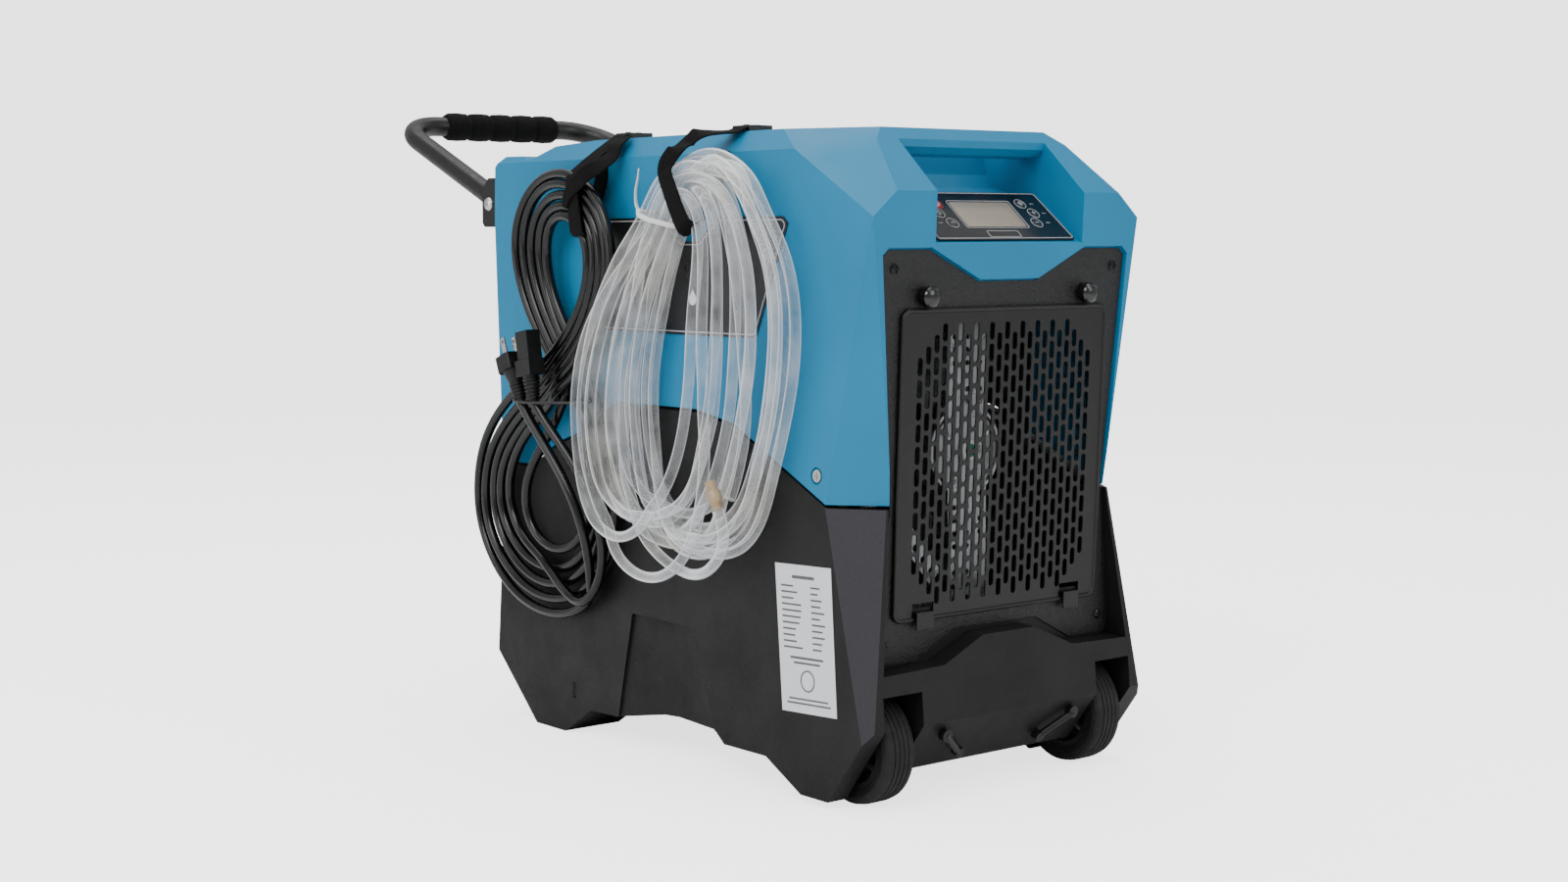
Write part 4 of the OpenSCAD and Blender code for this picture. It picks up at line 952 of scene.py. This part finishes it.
line_a += [(wall_x(z_) - 1.2, lerp(last_[1], 178, min(1.0, (z_ - last_[2]) / 30)), z_) for z_ in (548, 560, 573) if z_ > last_[2] + 5]
# the tape turns its face outwards as it leaves the lid, and keeps it there round the bundle
Ca_ = catmull(np.array(line_a, float), 2.0)
ke_ = int(np.argmin(np.linalg.norm(Ca_ - edge_, axis=1)))
kl_ = int(np.argmin(Ca_[:, 0]))
side_a = []
for k_ in range(len(Ca_)):
    t_ = Ca_[min(k_ + 1, len(Ca_) - 1)] - Ca_[max(k_ - 1, 0)]
    t_ /= np.linalg.norm(t_)
    f_ = min(1.0, max(0.0, (k_ - ke_) / max(kl_ - ke_, 1)) * 1.6)
    n_ = np.array([0, 0, 1.0]) if k_ < ke_ - 3 else np.array([lerp(-0.5, -1, f_), 0, lerp(0.85, 0, f_)])
    if k_ <= kl_:
        w_ = np.cross(t_, n_ / np.linalg.norm(n_))
    else:
        h_ = max(0.0, (k_ - len(Ca_) + 18) / 18)
        w_ = np.array([0, lerp(0.8, 0.95, h_), lerp(-0.6, -0.2, h_)])
    side_a.append(w_ / np.linalg.norm(w_))
side_a = np.array(side_a)
for _ in range(4):
    side_a[1:-1] = side_a[1:-1] * 0.5 + 0.25 * (side_a[2:] + side_a[:-2])
strap_a = ribbon("hose_strap", line_a, side_a, 21, 1.9, webbing, slot="webbing")
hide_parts("strap_hose")
line_b = strap_line([cord_p], 372.0, CR + 1.1, 52, 542, 593, 572)
strap_b = ribbon("cord_strap", [(x_, lerp(362, y_, min(1.0, max(0.0, (593 - z_) / 22))), z_) for x_, y_, z_ in sway(line_b, 9.0)], [Y1, Y1, (0.1, 1, 0.2), (0.1, 1, 0.2), (0, 1, 0.1), Y1, Y1, Y1], 22, 1.9, webbing, slot="webbing")
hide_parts("strap_cord")
out_x = min(p_[0] for p_ in line_b)
strap_c = ribbon("cord_strap_end", [(-150, 351, 590.6), (-163, 345, 583), (out_x + 22, 342, 572), (out_x + 9, 345, 563), (out_x - 1, 353, 555), (out_x - 3.4, 365, 547), (out_x - 3.6, 376, 540), (out_x - 3.2, 384, 531), (out_x - 2.6, 387, 523)],
                 [(0, 1, 0.0), (0.1, 1, 0.1), (0.2, 1, 0.5), (0.1, 0.9, 0.8), (0, 0.8, 0.9), (0, 0.7, 0.9), (0, 0.9, 0.4)], [22, 22, 21, 20, 18, 15, 9], 1.8, webbing, slot="webbing")

# thin tie round both tails and the hank, white tie round the narrow leg of the hose
def ring_band(name, point, ex, ey, hull, half, thick, mat, slot, rnd=1.0):
    """A closed flat band along a hull."""
    n = 64
    H = np.array(hull + [hull[0]], float)
    L = np.concatenate([[0], np.cumsum(np.linalg.norm(np.diff(H, axis=0), axis=1))])
    q = np.linspace(0, L[-1], n + 1)[:-1]
    C = np.stack([np.interp(q, L, H[:, 0]), np.interp(q, L, H[:, 1])], 1)
    for _ in range(3):
        C = C * 0.5 + 0.25 * (np.roll(C, 1, 0) + np.roll(C, -1, 0))
    mid = C.mean(0)
    ex, ey = np.array(ex, float), np.array(ey, float)
    nn = np.cross(ex, ey)
    V, F = [], []
    for k in range(n):
        t = C[(k + 1) % n] - C[k - 1]
        o2 = np.array([t[1], -t[0]]) / np.linalg.norm(t)
        if o2 @ (C[k] - mid) < 0:
            o2 = -o2
        for dr, dz in ((0, -half), (thick, -half * 0.86), (thick * 1.12, 0), (thick, half * 0.86), (0, half), (-0.1, 0)):
            p = np.array(point) + ex * (C[k][0] + o2[0] * dr) + ey * (C[k][1] + o2[1] * dr) + nn * dz
            V.append(D(*p))
    for k in range(n):
        for j_ in range(6):
            F.append((k * 6 + j_, k * 6 + (j_ + 1) % 6, ((k + 1) % n) * 6 + (j_ + 1) % 6, ((k + 1) % n) * 6 + j_))
    return add_mesh(name, V, F, mat, slot=slot)


tie_c = (-190, 424, 334.5)
tie_hull = around([cord_p], tie_c, (1, 0, 0), (0, 1, 0), CR + 0.3, 56, [(a_ - 0 + (-214 + 190), b_ - 424) for a_, b_ in ((-5.4, 412), (-5.4, 447), (2, 452), (0, 408))])
tie_b = ring_band("cord_tie_wire", tie_c, (1, 0, 0), (0, 1, 0), tie_hull, 1.5, 1.4, keeper, "tie_black")
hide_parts("cord_tie")
ty = (0, math.cos(TIE_TILT), math.sin(TIE_TILT))
tie_o = (-186, TIE_Y, TIE_Z)
band_hull = around([hose_p], tie_o, (1, 0, 0), ty, HR + 0.25, 46)
zip_band = ring_band("zip_tie_band", tie_o, (1, 0, 0), ty, band_hull, 2.5, 1.5, nylon, "tie_white")
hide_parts("hose_tie")
bx0, by1 = min(h_[0] for h_ in band_hull), max(h_[1] for h_ in band_hull)
hx, hy = tie_o[0] + bx0 * 0.55, TIE_Y + by1 * ty[1] + 2.0
hz = TIE_Z + by1 * ty[2]
zip_tail = ribbon("zip_tie_tail", [(hx, hy, hz), (hx - 1, hy + 3, hz + 5), (hx - 1.6, hy + 4, hz + 12), (hx - 2, hy + 3, hz + 21), (hx - 2.6, hy - 1, hz + 31), (hx - 5, hy - 6, hz + 40)], [(1, 0.3, 0.0), (0.9, 0.5, 0), (0.7, 0.8, 0)], [4.6, 4.4, 4.2, 3.2], 1.2, nylon, slot="tie_white")
zip_head = add_mesh("zip_tie_head", *(lambda c: ([D(c[0] + sx * w_, c[1] + sy * v_, c[2] + sz * u_) for sx in (-1, 1) for sy in (-1, 1) for sz in (-1, 1) for w_, v_, u_ in ((2.8, 2.6, 3.2),)],
                    [(0, 1, 3, 2), (4, 6, 7, 5), (0, 4, 5, 1), (2, 3, 7, 6), (0, 2, 6, 4), (1, 5, 7, 3)]))((hx, hy, hz)), nylon, slot="tie_white", smooth=False)
zb = zip_head.modifiers.new("round", "BEVEL")
zb.width, zb.segments = 0.0009, 3

# hose end fitting: barbed tail and collar
hf_o, hf_a = (-218.6, 118, 262), Vector((0, math.sin(math.radians(24)), math.cos(math.radians(24))))
fitting = revolve("hose_end_fitting", hf_o, hf_a, [(0.1, -6), (4.3, -6), (4.9, -4), (4.4, -3.8), (4.9, -1.6), (4.4, -1.4), (4.6, 0), (6.4, 0.6), (6.6, 1.5), (6.6, 10.5), (6.2, 11.6), (5.1, 12), (5.1, 19.5), (4.7, 20.6), (3.2, 20.8), (3.0, 15)], fit_mat, slot="fitting", seg=28)
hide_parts("hose_fitting")

# ribbed strain reliefs on the connector and the plug
def rib_set(name, p, tilt, z0, z1, r0, r1, n):
    a = math.radians(tilt)
    ax = Vector((0, -math.sin(a), math.cos(a)))
    for k in range(n):
        t = (k + 0.5) / n
        z, rr = lerp(z0, z1, t), lerp(r0, r1, t)
        c = Vector(p) + ax * z
        revolve("%s_%d" % (name, k), tuple(c), ax, [(rr - 0.6, -1.5), (rr + 0.7, -1.2), (rr + 1.1, -0.4), (rr + 1.1, 0.4), (rr + 0.7, 1.2), (rr - 0.6, 1.5)], plug_pvc, slot="cord_jacket", seg=24)
rib_set("plug_rib", (-214, 452, 362), -22, -28, -11, 5.2, 7.2, 5)
rib_set("connector_rib", (-214, 425, 378), -10, -42, -20, 5.3, 7.8, 6)


# ------------------------------------------------------------------ control panel: display, outlines and plain symbols
T = math.radians(39.7)


def PN(x, y, z=0.0):
    return D(x, -22.6 + y * math.cos(T) - z * math.sin(T), 492 + y * math.sin(T) + z * math.cos(T))


def panel_wire(name, pts, rad=0.32, z=0.12, mat=silver_ink, closed=True):
    return tube(name, [PN(x, y, z) for x, y in pts], rad * MM, mat, slot="bezel_black", closed=closed, sides=8)


def round_rect(x0, y0, x1, y1, rr, n=5):
    pts = []
    for cx_, cy_, a0 in ((x1 - rr, y0 + rr, -90), (x1 - rr, y1 - rr, 0), (x0 + rr, y1 - rr, 90), (x0 + rr, y0 + rr, 180)):
        for k in range(n + 1):
            a = math.radians(a0 + 90 * k / n)
            pts.append((cx_ + rr * math.cos(a), cy_ + rr * math.sin(a)))
    return pts


def rounded_poly(pts, rr, n=4):
    out = []
    for i in range(len(pts)):
        a, b, c = Vector((*pts[i - 1], 0)), Vector((*pts[i], 0)), Vector((*pts[(i + 1) % len(pts)], 0))
        u_, v_ = (a - b).normalized(), (c - b).normalized()
        m_ = min(rr, (a - b).length * 0.4, (c - b).length * 0.4)
        for k in range(n + 1):
            t = k / n
            p = (b + u_ * m_) * (1 - t) ** 2 + b * 2 * t * (1 - t) + (b + v_ * m_) * t ** 2
            out.append((p.x, p.y))
    return out


outline = rounded_poly([(-82.6, 3.2), (-81.4, 1.6), (81.4, 1.6), (82.6, 3.2), (79.4, 62.2), (77.6, 64), (-77.6, 64), (-79.4, 62.2)], 2.0)
panel_wire("bezel_outline", outline, 0.38)
screen = [PN(x, y, 0.05) for x, y in round_rect(-36.6, 17.6, 36.6, 51.4, 1.6)]
scr = add_mesh("display_screen", screen + [PN(0, 34.5, 0.05)], [(i, (i + 1) % len(screen), len(screen)) for i in range(len(screen))], lcd, slot="lcd", smooth=False)
panel_wire("display_frame", round_rect(-38.6, 15.9, 38.6, 53.1, 2.0), 0.3)
panel_wire("blank_badge", round_rect(-19, 3.4, 19, 11.4, 1.6), 0.28)
bt = {"button_power": (-52, 48.5), "button_left_upper": (-58.5, 36), "button_left_lower": (-51.5, 22.5), "button_right_top": (51.5, 49.5), "button_right_upper": (58.5, 36.3), "button_right_lower": (52.5, 22.8)}
for bn, (bx_, by_) in bt.items():
    panel_wire(bn + "_ring", [(bx_ + 6.1 * math.cos(a * math.pi / 12), by_ + 6.1 * math.sin(a * math.pi / 12)) for a in range(24)], 0.3, mat=red_ink if bn == "button_power" else silver_ink)


def glyph(name, bn, strokes, mat=silver_ink):
    bx_, by_ = bt[bn]
    for i, s in enumerate(strokes):
        tube("%s_%d" % (name, i), [PN(bx_ + x, by_ + y, 0.72) for x, y in s], 0.34 * MM, mat, body=bn + "_body", slot="bezel_black", sides=8)


arc = lambda r_, a0, a1, n=12: [(r_ * math.cos(math.radians(lerp(a0, a1, k / n))), r_ * math.sin(math.radians(lerp(a0, a1, k / n)))) for k in range(n + 1)]
glyph("sign_power", "button_power", [arc(2.2, 120, 420), [(0, 0.6), (0, 3)]], sticker_white)
glyph("sign_plus", "button_right_upper", [[(-2.2, 0), (2.2, 0)], [(0, -2.2), (0, 2.2)]])
glyph("sign_minus", "button_right_lower", [[(-2.2, 0), (2.2, 0)]])
glyph("sign_timer", "button_right_top", [arc(2.3, 0, 360, 20), [(0, 1.6), (0, 0), (1.2, 0)]])
glyph("sign_drop", "button_left_upper", [[(0, 2.6), (-1.3, 0.4), (-1.6, -0.6), (-1.1, -1.7), (0, -2.2), (1.1, -1.7), (1.6, -0.6), (1.3, 0.4), (0, 2.6)]])
glyph("sign_arrow", "button_left_lower", [[(-2, -1), (0, 1.2), (2, -1)]])
# small printed dashes beside the buttons
for i, (x, y, w_) in enumerate(((-66.5, 48.5, 5), (-72, 36, 5), (-66, 22.5, 5), (66, 49.5, 5), (72, 36.3, 4.4), (67, 22.8, 5))):
    panel_wire("panel_dash_%d" % i, [(x - w_ / 2, y), (x + w_ / 2, y)], 0.32, closed=False)


# ------------------------------------------------------------------ side plate and rating label
tap = math.atan(0.0234)


def SP(y, z, out=0.0):
    """On the left wall: y along the body, z up the wall, out from it, in mm."""
    return D(-174 + z * math.sin(tap) - out * math.cos(tap), y, z * math.cos(tap) + out * math.sin(tap))


plate = [(416, 507), (409, 513), (268, 513), (240, 491), (214, 491), (186, 513), (92, 513), (85, 507), (108, 452), (128, 405), (372, 405), (390, 452)]
cxp = sum(p[0] for p in plate) / len(plate)


def inset(poly, dist):
    n = len(poly)
    area = sum(poly[i - 1][0] * poly[i][1] - poly[i][0] * poly[i - 1][1] for i in range(n))
    sgn = 1 if area > 0 else -1
    out = []
    for i in range(n):
        a, b, c = Vector(poly[i - 1]), Vector(poly[i]), Vector(poly[(i + 1) % n])
        d1, d2 = (b - a).normalized(), (c - b).normalized()
        n1, n2 = Vector((-d1.y, d1.x)) * sgn, Vector((-d2.y, d2.x)) * sgn
        m_ = (n1 + n2)
        m_ = m_ / max(m_.length_squared / 2, 0.2)
        p = b + m_ * dist
        out.append((p.x, p.y))
    return out


tube("plate_outline", [SP(y, z, 1.22) for y, z in rounded_poly(inset(plate, 3.0), 3.0)], 0.0006, silver_ink, slot="plate_black", closed=True, sides=8)


def side_patch(name, quad, out, mat, slot):
    """A thin printed patch on the left wall, its corners eased."""
    pts = rounded_poly(quad, 1.0, 3)
    n = len(pts)
    V = [SP(y, z, out) for y, z in pts] + [SP(y, z, out - 0.12) for y, z in pts]
    F = [tuple(range(n)), tuple(range(2 * n - 1, n - 1, -1))] + [(i, (i + 1) % n, n + (i + 1) % n, n + i) for i in range(n)]
    return add_mesh(name, V, F, mat, slot=slot, smooth=False)


# a small plain drop stands where the plate carries lettering
drop = [(222 + 5.5 * math.cos(a) * (1 if math.sin(a) < 0.2 else max(0.0, 1 - (math.sin(a) - 0.2) / 0.8) ** 0.8), 438 + 5.5 * math.sin(a) * (1 if math.sin(a) < 0 else 1.7)) for a in [2 * math.pi * k / 36 for k in range(36)]]
V = [SP(y, z, 1.36) for y, z in drop] + [SP(y, z, 1.2) for y, z in drop]
nd = len(drop)
add_mesh("plate_drop", V, [tuple(range(nd)), tuple(range(2 * nd - 1, nd - 1, -1))] + [(i, (i + 1) % nd, nd + (i + 1) % nd, nd + i) for i in range(nd)], sticker_white, slot="label_white", smooth=False)
# rating label: faint grey rules in two columns, no lettering
lq = {"tl": (96.5, 208), "tr": (20.5, 211), "br": (9, 82), "bl": (83, 78)}


def LP(u_, v_):
    """u from the rear edge to the front edge, v from the top down."""
    a = Vector(lq["tl"]).lerp(Vector(lq["tr"]), u_)
    b = Vector(lq["bl"]).lerp(Vector(lq["br"]), u_)
    p = a.lerp(b, v_)
    return (p.x, p.y)


def label_bar(i, u0, u1, v0, v1):
    side_patch("label_line_%d" % i, [LP(u0, v0), LP(u1, v0), LP(u1, v1), LP(u0, v1)], 0.68, ink, "label_white")


k = 0
label_bar(k, 0.3, 0.7, 0.072, 0.094)
for row in range(11):
    v = 0.14 + row * 0.0415
    random.seed(100 + row)
    label_bar(100 + row, 0.09, 0.09 + random.uniform(0.2, 0.36), v, v + 0.0125)
    label_bar(200 + row, 0.62, 0.62 + random.uniform(0.1, 0.26), v, v + 0.0125)
label_bar(300, 0.2, 0.8, 0.62, 0.636)
label_bar(301, 0.26, 0.74, 0.655, 0.669)
ring_c = Vector(LP(0.5, 0.78))
tube("label_ring", [SP(ring_c.x + 9 * math.cos(a * math.pi / 16), ring_c.y + 9 * math.sin(a * math.pi / 16), 0.68) for a in range(32)], 0.0006, ink, slot="label_white", closed=True, sides=8)
label_bar(302, 0.14, 0.86, 0.9, 0.912)
label_bar(303, 0.1, 0.9, 0.93, 0.942)

# ------------------------------------------------------------------ behind the grille
fx, fz = 14, 300
revolve("motor_sticker", (fx, 40.1, fz), (0, -1, 0), [(0.1, 0), (9.8, 0), (9.8, 0.35), (6.2, 0.4), (6.0, 0.4)], sticker_white, slot="bright_screws", seg=40)
revolve("motor_sticker_green", (fx, 39.6, fz), (0, -1, 0), [(0.1, 0.3), (6.2, 0.3), (6.2, 0.1), (5.8, 0.0)], sticker_green, slot="board_green", seg=40)
for i, a in enumerate((0.5, 2.6, 4.7)):
    revolve("motor_screw_%d" % i, (fx + 30 * math.cos(a), 45.6, fz + 30 * math.sin(a)), (0, -1, 0), [(0.1, 0), (3.6, 0), (3.6, 1), (2.6, 2.2), (0.1, 2.6)], zinc, slot="bright_screws", seg=20)
rim_pts = [D(fx + 42 * math.cos(a * math.pi / 24), 47, fz + 42 * math.sin(a * math.pi / 24)) for a in range(48)]
tube("motor_rim", rim_pts, 0.0022, motor_metal, slot="bright_screws", closed=True)
# short perforated strip that runs up at an angle beside the motor
sa, sb_ = Vector((-62, 46, 232)), Vector((-24, 46, 186))
dv = (sb_ - sa).normalized()
nv = Vector((-dv.z, 0, dv.x))
L_ = (sb_ - sa).length
V, F = [], []
cells = 4
for i in range(cells):
    a0, a1 = i * L_ / cells, (i + 1) * L_ / cells
    holes_r = 3.6
    mid = sa + dv * ((a0 + a1) / 2)
    base_i = len(V)
    seg = 16
    for k in range(seg):
        an = 2 * math.pi * k / seg + math.pi / 4
        q = mid + dv * math.cos(an) * holes_r + nv * math.sin(an) * holes_r
        V.append(D(*q))
    for k in range(seg):
        an = 2 * math.pi * k / seg + math.pi / 4
        cx_, cy_ = math.cos(an), math.sin(an)
        sc = 1 / max(abs(cx_), abs(cy_))
        q = mid + dv * cx_ * sc * (a1 - a0) / 2 + nv * cy_ * sc * 9
        V.append(D(*q))
    for k in range(seg):
        F.append((base_i + k, base_i + (k + 1) % seg, base_i + seg + (k + 1) % seg, base_i + seg + k))
strip = add_mesh("perforated_strip", V, F, galv, slot="galvanised", smooth=False)
so = strip.modifiers.new("thick", "SOLIDIFY")
so.thickness = 0.0015

# ------------------------------------------------------------------ stage: pale floor, soft light
fm = Mat("stage_floor", [0.97, 0.97, 0.97], 0.8, spec=0.1)
fm.vary(3, 0.008)
fm.bump(fm.noise(300, 2), 0.0001, 0.1)
glow = fm.node("ShaderNodeEmission")
glow.inputs["Color"].default_value = (1, 1, 1, 1)
glow.inputs["Strength"].default_value = 2.2
lp = fm.node("ShaderNodeLightPath")
gm = fm.node("ShaderNodeMixShader")
add = fm.node("ShaderNodeAddShader")
none_ = fm.node("ShaderNodeEmission")
none_.inputs["Strength"].default_value = 0.0
fm.link(lp.outputs["Is Camera Ray"], gm.inputs[0])
fm.link(none_.outputs[0], gm.inputs[1])
fm.link(glow.outputs[0], gm.inputs[2])
fm.link(fm.b.outputs["BSDF"], add.inputs[0])
fm.link(gm.outputs[0], add.inputs[1])
fm.link(add.outputs[0], fm.out.inputs["Surface"])
me = bpy.data.meshes.new("floor")
prof = [(-14.0, 0.0), (6.0, 0.0)]
for k in range(1, 13):
    a = math.radians(90 * k / 12)
    prof.append((6.0 + 4.0 * math.sin(a), 4.0 - 4.0 * math.cos(a)))
prof.append((10.0, 16.0))
V, F = [], []
back = Vector((d.x, d.y, 0)).normalized()
acr = Vector((back.y, -back.x, 0))
for s_, z_ in prof:
    for t_ in (-22, 22):
        V.append(tuple(back * s_ + acr * t_ + Vector((0, 0, z_ - 0.0002))))
for i in range(len(prof) - 1):
    F.append((i * 2, i * 2 + 1, i * 2 + 3, i * 2 + 2))
me.from_pydata(V, [], F)
for p in me.polygons:
    p.use_smooth = True
floor = bpy.data.objects.new("floor", me)
bpy.context.scene.collection.objects.link(floor)
me.materials.append(fm.m)

world = bpy.data.worlds.new("studio")
bpy.context.scene.world = world
world.use_nodes = True
bg = world.node_tree.nodes.get("Background") or world.node_tree.nodes.new("ShaderNodeBackground")
bg.inputs["Color"].default_value = (0.97, 0.985, 1.0, 1)
bg.inputs["Strength"].default_value = 0.62


def area(name, loc, target, size, size_y, power, color=(1, 1, 1)):
    ld = bpy.data.lights.new(name, "AREA")
    ld.shape = "RECTANGLE"
    ld.size, ld.size_y = size, size_y
    ld.energy = power
    ld.color = color
    o = bpy.data.objects.new(name, ld)
    bpy.context.scene.collection.objects.link(o)
    o.location = loc
    o.rotation_mode = "QUATERNION"
    o.rotation_quaternion = (Vector(target) - Vector(loc)).to_track_quat("-Z", "Y")
    return o


area("key", (-2.6, -1.5, 2.6), (0, 0, 0.3), 2.2, 1.6, 62)
area("front", (0.9, -3.0, 1.6), (0, -0.1, 0.3), 1.6, 1.8, 26)
area("top", (0.2, 0.4, 3.0), (0, 0, 0.4), 2.6, 2.6, 52)
area("side_left", (-3.2, 0.9, 1.2), (-0.1, 0.1, 0.3), 1.4, 2.0, 22)
